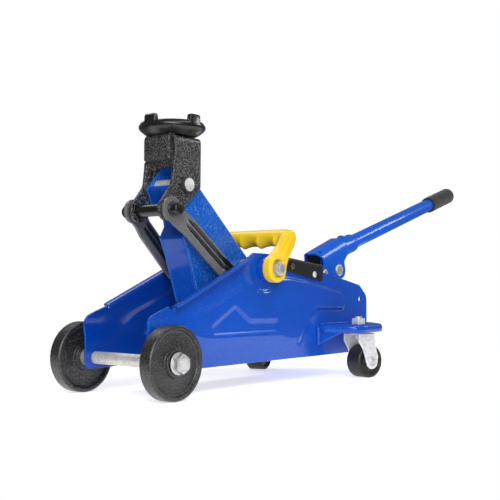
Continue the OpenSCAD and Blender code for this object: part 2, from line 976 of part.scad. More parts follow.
part_frame() tube_plug();
part_frame() handle_grip();
part_frame() pump_plunger();
part_frame() release_valve();
part_frame() left_front_wheel();
part_frame() right_front_wheel();
part_frame() left_caster_fork();
part_frame() right_caster_fork();
part_frame() left_caster_wheel();
part_frame() right_caster_wheel();
part_frame() left_caster_axle();
part_frame() right_caster_axle();
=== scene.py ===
import json
import math

import bmesh
import bpy
import numpy as np
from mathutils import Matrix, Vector
from mathutils.geometry import delaunay_2d_cdt


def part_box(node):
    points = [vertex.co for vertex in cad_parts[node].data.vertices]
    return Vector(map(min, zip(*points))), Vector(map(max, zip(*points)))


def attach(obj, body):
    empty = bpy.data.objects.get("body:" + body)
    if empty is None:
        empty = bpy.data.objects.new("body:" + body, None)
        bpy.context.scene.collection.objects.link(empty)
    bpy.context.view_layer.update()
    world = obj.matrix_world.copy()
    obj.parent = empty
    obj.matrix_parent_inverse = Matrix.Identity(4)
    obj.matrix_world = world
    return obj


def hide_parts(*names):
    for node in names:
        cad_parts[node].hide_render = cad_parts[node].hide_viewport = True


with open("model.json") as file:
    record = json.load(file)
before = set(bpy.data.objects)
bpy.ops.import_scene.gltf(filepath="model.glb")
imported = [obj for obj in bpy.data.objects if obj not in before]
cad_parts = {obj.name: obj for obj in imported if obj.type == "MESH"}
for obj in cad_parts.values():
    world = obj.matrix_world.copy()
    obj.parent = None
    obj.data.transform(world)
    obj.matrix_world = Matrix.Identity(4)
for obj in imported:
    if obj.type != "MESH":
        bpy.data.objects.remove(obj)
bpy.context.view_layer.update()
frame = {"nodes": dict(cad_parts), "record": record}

# Two-tonne trolley jack. Shapes are written in millimetres in chassis coordinates, where
# X = 0 is the front axle, Y = 0 the middle and Z = 0 the floor; row_frame() turns them
# into the shared frame in metres.
MM = 0.001
axle_lo, axle_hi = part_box("front_axle")
AXLE_X = (axle_lo[0] + axle_hi[0]) / 2
NEAR, FAR = -1, 1
SIDES = {"left": NEAR, "right": FAR}

# ---- Driving points, in chassis X-Z millimetres ----

AXLE = (0, 40)
PIVOT = (179, 141)
ARM_SLOPE = 40.7
ARM_LENGTH = 145
ARM_DIR = (-math.cos(math.radians(ARM_SLOPE)), math.sin(math.radians(ARM_SLOPE)))
SADDLE_PIVOT = (PIVOT[0] + ARM_LENGTH * ARM_DIR[0], PIVOT[1] + ARM_LENGTH * ARM_DIR[1])
LINK_OFFSET = (-28, -29.5)
LINK_BASE = (PIVOT[0] + LINK_OFFSET[0], PIVOT[1] + LINK_OFFSET[1])
LINK_TOP = (SADDLE_PIVOT[0] + LINK_OFFSET[0], SADDLE_PIVOT[1] + LINK_OFFSET[1])
RAM_PIN = (140, 91)
SADDLE_X = 73
SHEET = 3
PLATE_OUT = 53


# ---- Small geometry helpers ----

def unit(v):
    v = np.asarray(v, float)
    return v / np.linalg.norm(v)


def smooth(lo, hi, x):
    """0 below lo, 1 above hi, and a smooth step between; lo may be above hi."""
    t = np.clip((np.asarray(x, float) - lo) / (hi - lo), 0, 1)
    return t * t * (3 - 2 * t)


def ramp(t, soft=0.15):
    """A straight slope from 0 at t = 0 to 1 at t = 1, with its two corners rounded."""
    t = np.asarray(t, float)
    low = (t + soft) ** 2 / (4 * soft)
    high = 1 - (1 + soft - t) ** 2 / (4 * soft)
    return np.select(
        [t < -soft, t < soft, t < 1 - soft, t < 1 + soft], [np.zeros_like(t), low, t, high], 1.0)


def arc(centre, r, start, end, steps=16):
    """Points on a circle, with angles in degrees."""
    angles = np.radians(np.linspace(start, end, steps + 1))
    return [(centre[0] + r * math.cos(a), centre[1] + r * math.sin(a)) for a in angles]


def circle(centre, r, steps=48):
    return arc(centre, r, 0, 360, steps)[:-1]


def rounded(points, steps=7):
    """A closed outline through (x, y, corner radius) points."""
    out = []
    n = len(points)
    for i in range(n):
        before, at, after = (np.array(points[(i + k) % n][:2], float) for k in (-1, 0, 1))
        r = points[i][2] if len(points[i]) > 2 else 0
        u, v = unit(before - at), unit(after - at)
        half = math.acos(max(-1, min(1, float(u @ v)))) / 2
        if r == 0 or half > math.radians(89.5):
            out.append(tuple(at))
            continue
        centre = at + unit(u + v) * r / math.sin(half)
        a0 = math.atan2(*(at + u * r / math.tan(half) - centre)[::-1])
        a1 = math.atan2(*(at + v * r / math.tan(half) - centre)[::-1])
        turn = (a1 - a0 + 3 * math.pi) % (2 * math.pi) - math.pi
        for k in range(steps + 1):
            a = a0 + turn * k / steps
            out.append((centre[0] + r * math.cos(a), centre[1] + r * math.sin(a)))
    return out


def resampled(loop, step):
    """The closed loop with no side longer than step."""
    out = []
    for a, b in zip(loop, loop[1:] + loop[:1]):
        parts = max(1, math.ceil(math.dist(a, b) / step))
        out += [(a[0] + (b[0] - a[0]) * k / parts, a[1] + (b[1] - a[1]) * k / parts)
                for k in range(parts)]
    return out


def area(loop):
    """Area of a closed loop; negative when it runs clockwise."""
    return sum(a[0] * b[1] - b[0] * a[1] for a, b in zip(loop, loop[1:] + loop[:1])) / 2


def inset(loop, d):
    """A counter-clockwise loop drawn in by d, or a clockwise one, a hole, drawn out."""
    p = np.array(loop)
    ahead = np.roll(p, -1, 0) - p
    ahead /= np.linalg.norm(ahead, axis=1)[:, None]
    behind = np.roll(ahead, 1, 0)
    left = np.stack([-(ahead[:, 1] + behind[:, 1]), ahead[:, 0] + behind[:, 0]], 1)
    scale = 1 + (ahead * behind).sum(1)
    return p + d * left / np.maximum(scale, 0.35)[:, None]


def signed_distance(points, loop):
    """How far each point lies inside a closed loop; negative outside."""
    p = np.asarray(points, float)
    a = np.array(loop, float)
    b = np.roll(a, -1, 0)
    best = np.full(len(p), 1e9)
    inside = np.zeros(len(p), bool)
    for (ax, ay), (bx, by) in zip(a, b):
        ex, ey = bx - ax, by - ay
        t = np.clip(((p[:, 0] - ax) * ex + (p[:, 1] - ay) * ey) / max(ex * ex + ey * ey, 1e-12), 0, 1)
        best = np.minimum(best, np.hypot(p[:, 0] - ax - t * ex, p[:, 1] - ay - t * ey))
        crosses = (ay > p[:, 1]) != (by > p[:, 1])
        if ay != by:
            inside ^= crosses & (p[:, 0] < (bx - ax) * (p[:, 1] - ay) / (by - ay) + ax)
    return np.where(inside, best, -best)


# ---- Building pieces ----

def row_frame(points, side=FAR):
    """Chassis millimetres to the shared frame in metres, mirrored for the near side."""
    p = np.array(points, float).reshape(-1, 3)
    return np.stack([p[:, 0] * MM + AXLE_X, p[:, 1] * side * MM, p[:, 2] * MM], 1)


def add_object(name, data):
    obj = bpy.data.objects.new(name, data)
    bpy.context.scene.collection.objects.link(obj)
    return obj


def closed_mesh(name, points, faces, merge, sharp=0):
    """A mesh with points nearer than merge made one, faces turned outward, and edges that
    bend by more than sharp degrees left crisp."""
    mesh = bpy.data.meshes.new(name)
    mesh.from_pydata([tuple(p) for p in points], [], [tuple(f) for f in faces])
    bm = bmesh.new()
    bm.from_mesh(mesh)
    bmesh.ops.remove_doubles(bm, verts=bm.verts, dist=merge)
    bmesh.ops.recalc_face_normals(bm, faces=bm.faces)
    for f in bm.faces:
        f.smooth = True
    for e in bm.edges:
        e.smooth = len(e.link_faces) == 2 and e.calc_face_angle(0) < math.radians(sharp)
    bm.to_mesh(mesh)
    bm.free()
    return mesh


def add_piece(name, part, finish, body, stands_for, side=FAR, sharp=50):
    """Makes one closed mesh, (points, faces), a piece of the jack that rides on a body.
    stands_for names the CAD node that it replaces, or is empty."""
    mesh = closed_mesh(name, row_frame(part[0], side), part[1], 0.002 * MM, sharp)
    obj = add_object(name, mesh)
    mesh.materials.append(finish)
    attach(obj, body)
    if stands_for:
        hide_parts(stands_for)
    return obj


def add_pairs(*rows):
    """Adds every row's left piece, then every row's right piece. {} in a row is the side's
    name. A CAD node without it is shared, and the left piece stands for it."""
    made = []
    for word, side in SIDES.items():
        for name, part, finish, body, node, slot, sharp in rows:
            if "{}" not in node and word != "left":
                node = ""
            made.append((side, add_piece(f"{word}_{name}", part, finish, body.format(word),
                                         node.format(word), side, sharp)))
    return made


SOFT_EDGE = 0.6  # width of the flat strip beside a sheet's rounded edge


def between(points, loops, room):
    """Which points lie inside the first loop and outside the others, by more than room."""
    keep = signed_distance(points, loops[0]) > room
    for loop in loops[1:]:
        keep &= signed_distance(points, loop) < -room
    return keep


def flipped(loop):
    return [(-p[0], p[1]) for p in loop]


def both_halves(half):
    """A blank's outline from the half on one side of its middle line."""
    return half + [(p[0], -p[1], *p[2:]) for p in reversed(half[1:-1])]


def folded(t, flat, bend):
    """How far across and down the outer face lies, t along a sheet that is folded down."""
    turn = np.clip((t - flat) / bend, 0, math.pi / 2)
    across = np.minimum(t, flat) + bend * np.sin(turn)
    return across, bend * (1 - np.cos(turn)) + np.clip(t - flat - bend * math.pi / 2, 0, None)


def pressed(outline, holes, place, thick, edge=0.5, step=None):
    """Mesh of a sheet with rounded edges: outline and holes are flat loops, and place maps
    flat points (N, 2) to the sheet's outer face (N, 3). With a step, the face gets a grid of
    points that far apart. Returns points and faces."""
    loops = []
    for k, loop in enumerate([outline] + list(holes)):
        loop = list(loop)
        if (area(loop) > 0) != (k == 0):
            loop.reverse()
        loops.append(resampled(loop, step * 1.4) if step else loop)
    rings = [(0.0, edge), (0.29 * edge, 0.29 * edge), (edge, 0.0), (edge + SOFT_EDGE, 0.0)]
    flat, depth, edges = [], [], []
    for loop in loops:
        for d, h in rings:
            start = len(flat)
            flat += [tuple(p) for p in (inset(loop, d) if d else loop)]
            depth += [h] * len(loop)
            edges += [(start + i, start + (i + 1) % len(loop)) for i in range(len(loop))]
    if step:
        lo, hi = np.min(loops[0], 0), np.max(loops[0], 0)
        rows = np.arange(lo[1], hi[1], step * 0.866)
        grid = np.array([(x + (j % 2) * step / 2, y) for j, y in enumerate(rows)
                         for x in np.arange(lo[0], hi[0], step)])
        grid = grid[between(grid, loops, edge + SOFT_EDGE + 0.45 * step)]
        flat += [tuple(p) for p in grid]
        depth += [0.0] * len(grid)
    flat = [Vector(p) for p in flat]
    verts, _, tris, origins, _, _ = delaunay_2d_cdt(flat, edges, [], 0, 1e-4)
    uv = np.array([tuple(v) for v in verts])
    tris = np.array([tuple(t) for t in tris])
    tris = tris[between(uv[tris].mean(1), loops, 0)]
    new_index = {}
    low = np.zeros(len(uv))
    for i, source in enumerate(origins):
        for s in source:
            new_index[s] = i
            low[i] = max(low[i], depth[s])
    tiny = 0.02
    here = place(uv)
    du = place(uv + [tiny, 0]) - place(uv - [tiny, 0])
    dv = place(uv + [0, tiny]) - place(uv - [0, tiny])
    normal = np.cross(du, dv)
    normal /= np.linalg.norm(normal, axis=1)[:, None]
    top = here - normal * low[:, None]
    bottom = here - normal * (thick - low)[:, None]
    n = len(uv)
    faces = [tuple(t) for t in tris] + [tuple(n + i for i in t[::-1]) for t in tris]
    start = 0
    for loop in loops:
        count = len(loop)
        ids = [new_index[start + i] for i in range(count)]
        faces += [(ids[i], n + ids[i], n + ids[(i + 1) % count], ids[(i + 1) % count])
                  for i in range(count)]
        start += count * len(rings)
    points = np.concatenate([top, bottom])
    used = sorted({i for f in faces for i in f})
    renumber = {old: new for new, old in enumerate(used)}
    return points[used], [tuple(renumber[i] for i in f) for f in faces]


def slab(outline, holes, y0, y1, edge=0.5):
    """A flat plate with rounded edges between y0 and y1; its outline is in X-Z."""
    def place(uv):
        return np.stack([-uv[:, 0], np.full(len(uv), float(y1)), uv[:, 1]], 1)

    return pressed(flipped(outline), [flipped(h) for h in holes], place, y1 - y0, edge)


def lofted(rings, closed=False):
    """A skin through rings of points: closed round on itself, or with its ends capped."""
    n, count = len(rings[0]), len(rings)
    faces = []
    for i in range(count if closed else count - 1):
        j = (i + 1) % count
        faces += [(i * n + k, i * n + (k + 1) % n, j * n + (k + 1) % n, j * n + k)
                  for k in range(n)]
    if not closed:
        faces += [tuple(range(n)), tuple(range((count - 1) * n, count * n))]
    return [tuple(p) for ring in rings for p in ring], faces


def turned(profile, axis="y", at=(0, 0), steps=96, radius=None):
    """Turns a closed profile of (radius, height) points about an axis. at is the axis's
    place in the plane across it. radius may change the radius from the angle."""
    rings = []
    for i in range(steps):
        a = 2 * math.pi * i / steps
        rings.append([])
        for r, h in profile:
            if radius:
                r = radius(r, a)
            across, up = at[0] + r * math.cos(a), at[1] + r * math.sin(a)
            rings[-1].append({"x": (h, across, up), "y": (across, h, up),
                              "z": (across, up, h)}[axis])
    return lofted(rings, True)


def joined(*parts):
    """Several meshes, each (points, faces), as one."""
    points, faces = [], []
    for p, f in parts:
        base = len(points)
        points += [tuple(q) for q in p]
        faces += [tuple(base + i for i in face) for face in f]
    return points, faces


def shifted(part, move):
    """The same mesh with its points passed through move."""
    return [tuple(move(*p)) for p in part[0]], part[1]


def both_ends(part):
    """A mesh and its mirror image across the jack."""
    return joined(part, shifted(part, lambda x, y, z: (x, -y, z)))


def swept(path, radius, sides=10):
    """A closed bar along a path of points; radius(t) gives its radius from start to end."""
    path = np.array(path, float)
    ahead = np.gradient(path, axis=0)
    ahead /= np.linalg.norm(ahead, axis=1)[:, None]
    up = np.array([0.31, 0.52, 0.8])
    angles = np.linspace(0, 2 * math.pi, sides, endpoint=False)
    rings = []
    for i, at in enumerate(path):
        a = unit(np.cross(ahead[i], up))
        b = np.cross(ahead[i], a)
        r = radius(i / (len(path) - 1))
        rings.append([at + r * (math.cos(t) * a + math.sin(t) * b) for t in angles])
    return lofted(rings)


def weld(start, end, r=1.6, ripple=2.4):
    """A welded bead: overlapping ripples that thin out at both ends."""
    start, end = np.array(start, float), np.array(end, float)
    length = float(np.linalg.norm(end - start))
    t = np.linspace(0, 1, max(8, int(length / ripple * 6)))
    lean = np.array([0.23, 0.11, 0.17]) * r
    path = start + t[:, None] * (end - start) + np.sin(t * length * 1.3)[:, None] * 0.5 * lean

    def radius(at):
        wave = abs(math.sin(math.pi * at * length / ripple))
        return r * (0.72 + 0.28 * wave) * min(1, 0.35 + 6 * min(at, 1 - at))

    return swept(path, radius)


def fused(name, parts, voxel, passes):
    """Joins overlapping closed meshes into one skin and smooths it. Chassis millimetres."""
    mesh = closed_mesh(name, *joined(*parts), 1e-4)
    obj = add_object(name, mesh)
    remesh = obj.modifiers.new("remesh", "REMESH")
    remesh.mode = "VOXEL"
    remesh.voxel_size = voxel
    relax = obj.modifiers.new("relax", "SMOOTH")
    relax.iterations = passes
    relax.factor = 0.5
    done = obj.evaluated_get(bpy.context.evaluated_depsgraph_get()).to_mesh()
    out = ([tuple(v.co) for v in done.vertices], [tuple(p.vertices) for p in done.polygons])
    bpy.data.objects.remove(obj)
    bpy.data.meshes.remove(mesh)
    return out


# ---- Materials ----

def srgb(colour):
    """Linear colour from 0-255 screen values."""
    return tuple(((c / 255 + 0.055) / 1.055) ** 2.4 if c > 10 else c / 3294.6
                 for c in colour) + (1,)


class NodeTree:
    """Adds nodes to the tree of a material or a world."""

    def __init__(self, owner):
        owner.use_nodes = True
        self.nodes, self.links = owner.node_tree.nodes, owner.node_tree.links

    def put(self, node, inputs):
        """Gives a node's inputs constants, or links from other nodes' outputs."""
        for key, value in inputs.items():
            if isinstance(value, bpy.types.NodeSocket):
                self.links.new(value, node.inputs[key])
            else:
                node.inputs[key].default_value = value

    def node(self, kind, inputs=None, **settings):
        node = self.nodes.new("ShaderNode" + kind)
        for key, value in settings.items():
            setattr(node, key, value)
        self.put(node, inputs or {})
        return node


class Finish(NodeTree):
    """Builds one node material: colour that varies, edges tinted pale as wear and as painted
    highlight, rough patches and bump.
    """

    def __init__(self, name, colour, rough, sockets):
        self.mat = bpy.data.materials.new(name)
        super().__init__(self.mat)
        self.nodes.clear()
        self.shader = self.node(
            "BsdfPrincipled", {"Base Color": colour, "Roughness": rough, **sockets})
        self.node("OutputMaterial", {0: self.shader.outputs[0]})
        self.colour = colour
        self.coords = self.node("TexCoord").outputs["Object"]
        self.normal = None

    def noise(self, size_mm, detail=3.0, roughness=0.5, stretch=None, kind="Noise"):
        """A noise whose lumps are about size_mm across; stretch scales its axes."""
        vector = self.coords
        if stretch:
            vector = self.node("Mapping", {"Vector": vector, "Scale": stretch}).outputs[0]
        inputs = {"Vector": vector, "Scale": 1 / (size_mm * MM)}
        if kind == "Voronoi":
            return self.node("TexVoronoi", inputs).outputs["Distance"]
        inputs.update({"Detail": detail, "Roughness": roughness})
        return self.node("TexNoise", inputs).outputs["Fac"]

    def levels(self, value, lo, hi, to_lo=0.0, to_hi=1.0, curve="SMOOTHSTEP"):
        """Maps the range lo to hi of a value to another range."""
        inputs = {"Value": value, "From Min": lo, "From Max": hi, "To Min": to_lo, "To Max": to_hi}
        return self.node("MapRange", inputs, interpolation_type=curve).outputs[0]

    def tint(self, factor, colour):
        """Mixes the colour so far towards another one where factor is high."""
        mix = self.node("Mix", {0: factor, 6: self.colour, 7: colour}, data_type="RGBA")
        self.colour = mix.outputs[2]
        self.put(self.shader, {"Base Color": self.colour})

    def edges(self, radius_mm):
        """Rounds what edges look like, and returns how near an edge each point is."""
        self.normal = self.node("Bevel", {"Radius": radius_mm * MM}, samples=4).outputs[0]
        flat = self.node("NewGeometry").outputs["Normal"]
        dot = self.node("VectorMath", {0: self.normal, 1: flat}, operation="DOT_PRODUCT")
        return self.levels(dot.outputs["Value"], 0.985, 0.86)

    def bump(self, height, depth_mm):
        """Adds relief to what the earlier bevel and bumps made of the surface."""
        inputs = {"Height": height, "Distance": depth_mm * MM, "Strength": 1.0}
        if self.normal:
            inputs["Normal"] = self.normal
        self.normal = self.node("Bump", inputs).outputs[0]
        self.put(self.shader, {"Normal": self.normal, "Coat Normal": self.normal})


def finish(name, colour, rough, clouds, patches, bumps, worn_and_lit_edges=(), sockets=()):
    """One material; its colours are 0-255 screen values. clouds: rows of (noise, level where
    it starts, level where it is full, strength, colour). patches: (noise, least, most)
    roughness. bumps: rows of (noise, depth in mm). worn_and_lit_edges: the bevel of its edges
    in mm, and for pale edges, which are partly wear and partly painted highlight, also (level
    where they start, strength, colour)."""
    f = Finish(name, srgb(colour), rough, dict(sockets))
    near_edge = f.edges(worn_and_lit_edges[0]) if worn_and_lit_edges else None
    for noise, start, full, strength, other in clouds:
        f.tint(f.levels(f.noise(*noise), start, full, 0.0, strength), srgb(other))
    # Edges are tinted pale: partly wear, partly a painted highlight along the rounded edges
    if len(worn_and_lit_edges) > 1:
        f.tint(f.levels(near_edge, worn_and_lit_edges[1], 1.0, 0.0, worn_and_lit_edges[2]), srgb(worn_and_lit_edges[3]))
    noise, least, most = patches
    patchy = f.levels(f.noise(*noise), 0.0, 1.0, least, most, "LINEAR")
    f.put(f.shader, {"Roughness": patchy})
    for noise, depth in bumps:
        f.bump(f.noise(*noise), depth)
    return f.mat


def blue_paint(name, colour, deep, pale, grain=0.03, speck_mm=1.1, speck=0.3):
    """Stoved enamel: fine grain, cloudy depth, and edges tinted pale, partly as thin coat and partly
    as painted highlight.
    """
    specks = (speck_mm, 3, 0.6)
    return finish(
        name, colour, 0.4, [((60, 4), 0.35, 0.7, 0.5, deep), (specks, 0.5, 0.72, speck, pale)],
        ((14, 5, 0.6), 0.28, 0.46), [(specks, grain), ((3.2, 2), grain)], (0.9, 0.0, 0.75, pale),
        {"Coat Weight": 0.6, "Coat Roughness": 0.1, "Specular IOR Level": 0.25,
         "Specular Tint": (0.3, 0.55, 1, 1)})


BLACK_GLOSS = {"Coat Weight": 0.4, "Coat Roughness": 0.16}


def black_enamel(name, base=(10, 10, 11), fleck=(136, 136, 138), much=0.8, pebble=1.5, depth=0.2):
    """Hammered black coat over forged steel: pebbled, with pale flecks between the pebbles that are
    partly painted glints, and pale edges that are partly painted highlight.
    """
    pebbles = (pebble, 3.0, 0.6)
    return finish(name, base, 0.35, [(pebbles, 0.48, 0.62, much, fleck)], ((5, 4), 0.22, 0.45),
                  [(pebbles, depth)], (0.6, 0.2, 0.5, (150, 150, 152)), BLACK_GLOSS)


def bright_zinc(name, colour=(212, 213, 215), rough=(0.3, 0.5), metallic=0.7, streak=None):
    """Zinc plate: cloudy, with fine drawing lines where the part is turned or drawn."""
    clouds = (6, 5, 0.65)
    dull = [int(c * 0.72) for c in colour]
    return finish(name, colour, 0.3, [(clouds, 0.45, 0.7, 0.5, dull)], (clouds, *rough),
                  [((0.8, 3, 0.6, streak), 0.03)], (0.4, 0.2, 0.5, (245, 245, 245)),
                  {"Metallic": metallic})


def moulded_plastic(name, colour, deep, rough=(0.3, 0.46), grain=0.03):
    """Injection-moulded plastic with a fine spark-eroded grain."""
    return finish(name, colour, 0.35, [((22, 4), 0.4, 0.72, 0.55, deep)], ((9, 4), *rough),
                  [((0.7, 3, 0.55), grain)], (0.5,),
                  {"Subsurface Weight": 0.06, "Subsurface Radius": (0.004, 0.003, 0.001)})


BLUE = blue_paint("blue_enamel", (0, 74, 186), (0, 64, 168), (90, 150, 240))
ARM_BLUE = blue_paint("arm_enamel", (14, 94, 200), (0, 76, 182), (120, 176, 246), 0.07, 1.6, 0.55)
# A darker blue for the plates' inner faces: painted shade
SHADED_INNER_BLUE = blue_paint("inside_enamel_painted_shade", (0, 54, 150), (0, 44, 130), (40, 110, 205))
TUBE_BLUE = blue_paint("tube_enamel", (0, 98, 224), (0, 84, 204), (80, 156, 245), 0.012)
BLACK = black_enamel("black_hammered")
# The links' black is a paler, lit copy of the hammered enamel: painted light on their faces
LIT_LINK_BLACK = black_enamel("link_enamel_painted_light", (96, 96, 98), (140, 140, 142), 0.6, 1.0, 0.04)
SADDLE_BLACK = black_enamel("saddle_enamel", (5, 5, 6), (46, 46, 48), 0.5, 1.8, 0.1)
ZINC = bright_zinc("zinc_plate")
WHITE_ZINC = bright_zinc("pale_zinc", (238, 238, 240), (0.34, 0.55), 0.45)
AXLE_ZINC = bright_zinc("drawn_bar", (222, 220, 216), (0.35, 0.6), 0.5, streak=(1, 0.15, 1))
YELLOW = moulded_plastic("yellow_plastic", (253, 214, 34), (246, 196, 12))
BLACK_PLASTIC = moulded_plastic("black_plastic", (22, 22, 23), (14, 14, 15), (0.35, 0.55))
COVER_BLACK = moulded_plastic("satin_black", (14, 14, 15), (24, 24, 25), (0.4, 0.6), 0.02)
# Painted sand casting: coarse grit, with bright specks painted in as glints
GRIT = (1.2, 4, 0.62)
CAST = finish(
    "black_casting", (10, 10, 11), 0.4, [(GRIT, 0.5, 0.64, 0.85, (92, 91, 89))],
    ((4, 4), 0.25, 0.5), [(GRIT, 0.3), ((7, 3), 0.25)], (0.6, 0.3, 0.6, (140, 140, 138)),
    BLACK_GLOSS)
STAINS = (9, 5, 0.6)
DARK = finish(
    "oiled_steel", (82, 82, 84), 0.42, [(STAINS, 0.42, 0.7, 0.7, (52, 48, 45))],
    (STAINS, 0.3, 0.6), [((1.2, 3), 0.04)], (0.5, 0.2, 0.6, (150, 150, 150)), {"Metallic": 0.75})
CHROME = finish(
    "hard_chrome", (214, 215, 218), 0.1, [((12, 3), 0.5, 0.75, 0.4, (160, 160, 165))],
    ((3, 4, 0.6, (0.2, 1, 1)), 0.06, 0.2), [((0.4, 2, 0.5, (0.1, 1, 1)), 0.01)], (0.4,),
    {"Metallic": 1.0})
# Pale specks on the tread are painted glints
TREAD_SPECKS = (2.2, 5, 0.65)
TREAD = finish(
    "wheel_tread", (12, 12, 13), 0.5, [(TREAD_SPECKS, 0.5, 0.72, 0.7, (66, 66, 65))],
    (TREAD_SPECKS, 0.45, 0.75), [(TREAD_SPECKS, 0.08)], (0.5, 0.2, 0.7, (130, 130, 129)),
    {"Coat Weight": 0.2, "Coat Roughness": 0.2})
# Closed-cell foam sleeve: matt, with fine pores, darkened in colour as painted shade
PORES = (0.8, 1, 0.5, None, "Voronoi")
GRIP = finish(
    "grip_foam", (40, 40, 42), 0.85,
    [(PORES, 0.25, 0.0, 0.7, (24, 24, 25)), ((15, 4), 0.45, 0.7, 0.5, (62, 62, 64))],
    ((6, 3), 0.78, 0.95), [(PORES, 0.12)], (), {"Specular IOR Level": 0.25, "Sheen Weight": 0.25})

SLOT_FINISH = {
    "blue_frame": BLUE, "blue_handle": TUBE_BLUE, "black_coat": BLACK, "cast_black": CAST,
    "zinc": ZINC, "zinc_fork": WHITE_ZINC, "chromed_rod": CHROME, "dark_steel": DARK,
    "yellow_plastic": YELLOW, "black_plastic": BLACK_PLASTIC, "caster_tread": TREAD,
    "grip_foam": GRIP,
}


def finish_cad_nodes():
    """Every CAD node that stays gets the finish of its material slot."""
    for item in frame["record"]["subparts"]:
        obj = frame["nodes"].get(item["node"])
        if obj is None:
            continue
        if not obj.material_slots:
            obj.data.materials.append(SLOT_FINISH[item["material_slot"]])
        for slot in obj.material_slots:
            slot.material = SLOT_FINISH[item["material_slot"]]
    frame["nodes"]["front_axle"].material_slots[0].material = AXLE_ZINC


# ---- Side plates ----

PLATE = [
    (-15, 28, 7), (-15, 87, 12), (17.8, 98.4, 1), (18.4, 95.8, 0.7), (20.8, 95.6, 0.7)]
PLATE_REAR = [
    (150.5, 154.6, 1.5), (160, 160, 5), (194, 159, 8), (230, 151, 20), (347, 130, 40),
    (392, 121, 10), (410, 106, 14), (410, 30, 12)]
LIP_TOP = [(26, 101.6), (147, 153.6)]
LIP_OUT = 60
BEND_R = 2.0
LIP_DIR = unit(np.subtract(LIP_TOP[1], LIP_TOP[0]))
LIP_UP = np.array([-LIP_DIR[1], LIP_DIR[0]])
FOLD_START = np.array(LIP_TOP[0]) - (BEND_R + SHEET) * LIP_UP
FOLD_LENGTH = math.dist(*LIP_TOP)
LIP_FLAT = LIP_OUT - PLATE_OUT + 1.6 - BEND_R + BEND_R * math.pi / 2
LIP_LEAD = 5.5
PANEL = [
    (30, 50, 14), (33, 84, 8), (85, 103, 20), (152, 131, 6), (204, 134, 6), (269, 126, 20),
    (343, 112, 12), (359, 101, 6), (350, 87.5, 6), (287, 89, 8), (272, 79, 8),
    (267, 64, 8), (247, 46, 12), (148, 48, 20)]
POCKET = [(80, 62.5, 4), (80, 76, 4), (122, 99, 8), (150, 81, 8), (204, 80, 5), (204, 62.5, 5)]
MARK = [(161.5, 105, 0.5), (161.5, 114, 0.5), (164, 114, 0.5), (167, 109.5, 1), (164, 105, 0.5)]
DISH_R = 25
REAR_HOLE = (393, 101.7)
PANEL_RAISE = 3
POCKET_DEPTH = 2
MARK_DEPTH = 1.6


def plate_pattern():
    """The plate's blank before its lip is folded out."""
    def on_lip(u, s, r):
        return (*(FOLD_START + u * LIP_DIR + s * LIP_UP), r)

    front = PLATE + [on_lip(*p) for p in (
        (-LIP_LEAD, 0, 0), (-LIP_LEAD, LIP_FLAT, 2.5), (FOLD_LENGTH - 4, LIP_FLAT, 2.5),
        (FOLD_LENGTH - 1.5, 0.5, 0.8), (FOLD_LENGTH + 0.5, 0.5, 0.6))]
    return rounded(front + PLATE_REAR)


def plate_face(p):
    """How far the pressed plate stands out at chassis points (x, z)."""
    x, z = p[:, 0], p[:, 1]
    in_panel = signed_distance(p, PANEL_LOOP)
    from_pivot = np.hypot(x - PIVOT[0], z - PIVOT[1])
    # The slope round the panel is wider along the bottom and at the front
    low_edge = smooth(80, 58, z) * smooth(272, 245, x)
    wide = 7.5 - 4.5 * smooth(205, 232, x) + 4.5 * low_edge + 9 * smooth(75, 35, x)
    raised = np.minimum(ramp(in_panel / wide, 0.12), ramp((from_pivot - DISH_R) / 4.5, 0.12))
    pocket = ramp(signed_distance(p, POCKET_LOOP) / (6.5 - 2.0 * smooth(63, 72, z)), 0.12)
    mark = ramp(signed_distance(p, MARK_LOOP) / 1.2, 0.2)
    # Beyond it the sheet leans in a little above and below
    outside = np.clip(-in_panel, 0, 26)
    lean = 0.13 * smooth(72, 92, z) * smooth(185, 120, x) + 0.12 * low_edge
    return (PLATE_OUT + PANEL_RAISE * raised - POCKET_DEPTH * pocket - MARK_DEPTH * mark
            - lean * outside)


def plate_place(p):
    """Flat blank to pressed plate: the lip turns out along its fold."""
    along = (p - FOLD_START) @ LIP_DIR
    past = (p - FOLD_START) @ LIP_UP
    on_lip = (past > 0) & (along > -LIP_LEAD - 1.2) & (along < FOLD_LENGTH - 1) & (p[:, 0] > 18.6)
    foot = FOLD_START + along[:, None] * LIP_DIR
    base = np.where(on_lip[:, None], foot, p)
    out = plate_face(base)
    rise, reach = (np.where(on_lip, way, 0) for way in folded(past, 0, BEND_R))
    base = base + rise[:, None] * LIP_UP
    return np.stack([base[:, 0], out + reach, base[:, 1]], 1)


PANEL_LOOP = rounded(PANEL)
POCKET_LOOP = rounded(POCKET)
MARK_LOOP = rounded(MARK)


def side_plates():
    """The two pressings; their inner faces get a darker blue, which is painted shade."""
    def place(uv):
        return plate_place(uv * [-1, 1])

    holes = [circle(AXLE, 7.2), circle(PIVOT, 8.2), circle(REAR_HOLE, 3.5, 28)]
    part = pressed(flipped(plate_pattern()), [flipped(h) for h in holes], place, SHEET, 0.5, 1.7)
    for side, plate in add_pairs(
            ("plate_pressing", part, BLUE, "chassis", "{}_side_plate", "blue_frame", 50)):
        plate.data.materials.append(SHADED_INNER_BLUE)
        # Faces turned inward take the darker blue as painted shade
        for face in plate.data.polygons:
            if face.normal.y * side < -0.6:
                face.material_index = 1


# ---- Links ----

LINK_SPAN = math.dist(LINK_BASE, LINK_TOP)
LINK_EYE_R = 14
LINK_HALF = 11.5
LINK_T = 4
LINK_BASE_OUT = 47
LINK_KNEE = 114.8
LINK_KNEE_OUT = 37.6
LINK_TOP_OUT = 32.5
CROSS_PIN_END = 44
# Middle, start and end of each rolled groove
GROOVES = ((-0.6, 38, 126), (6.4, 30, 128))
GROOVE_HALF, GROOVE_DEPTH = 3.1, 2.9


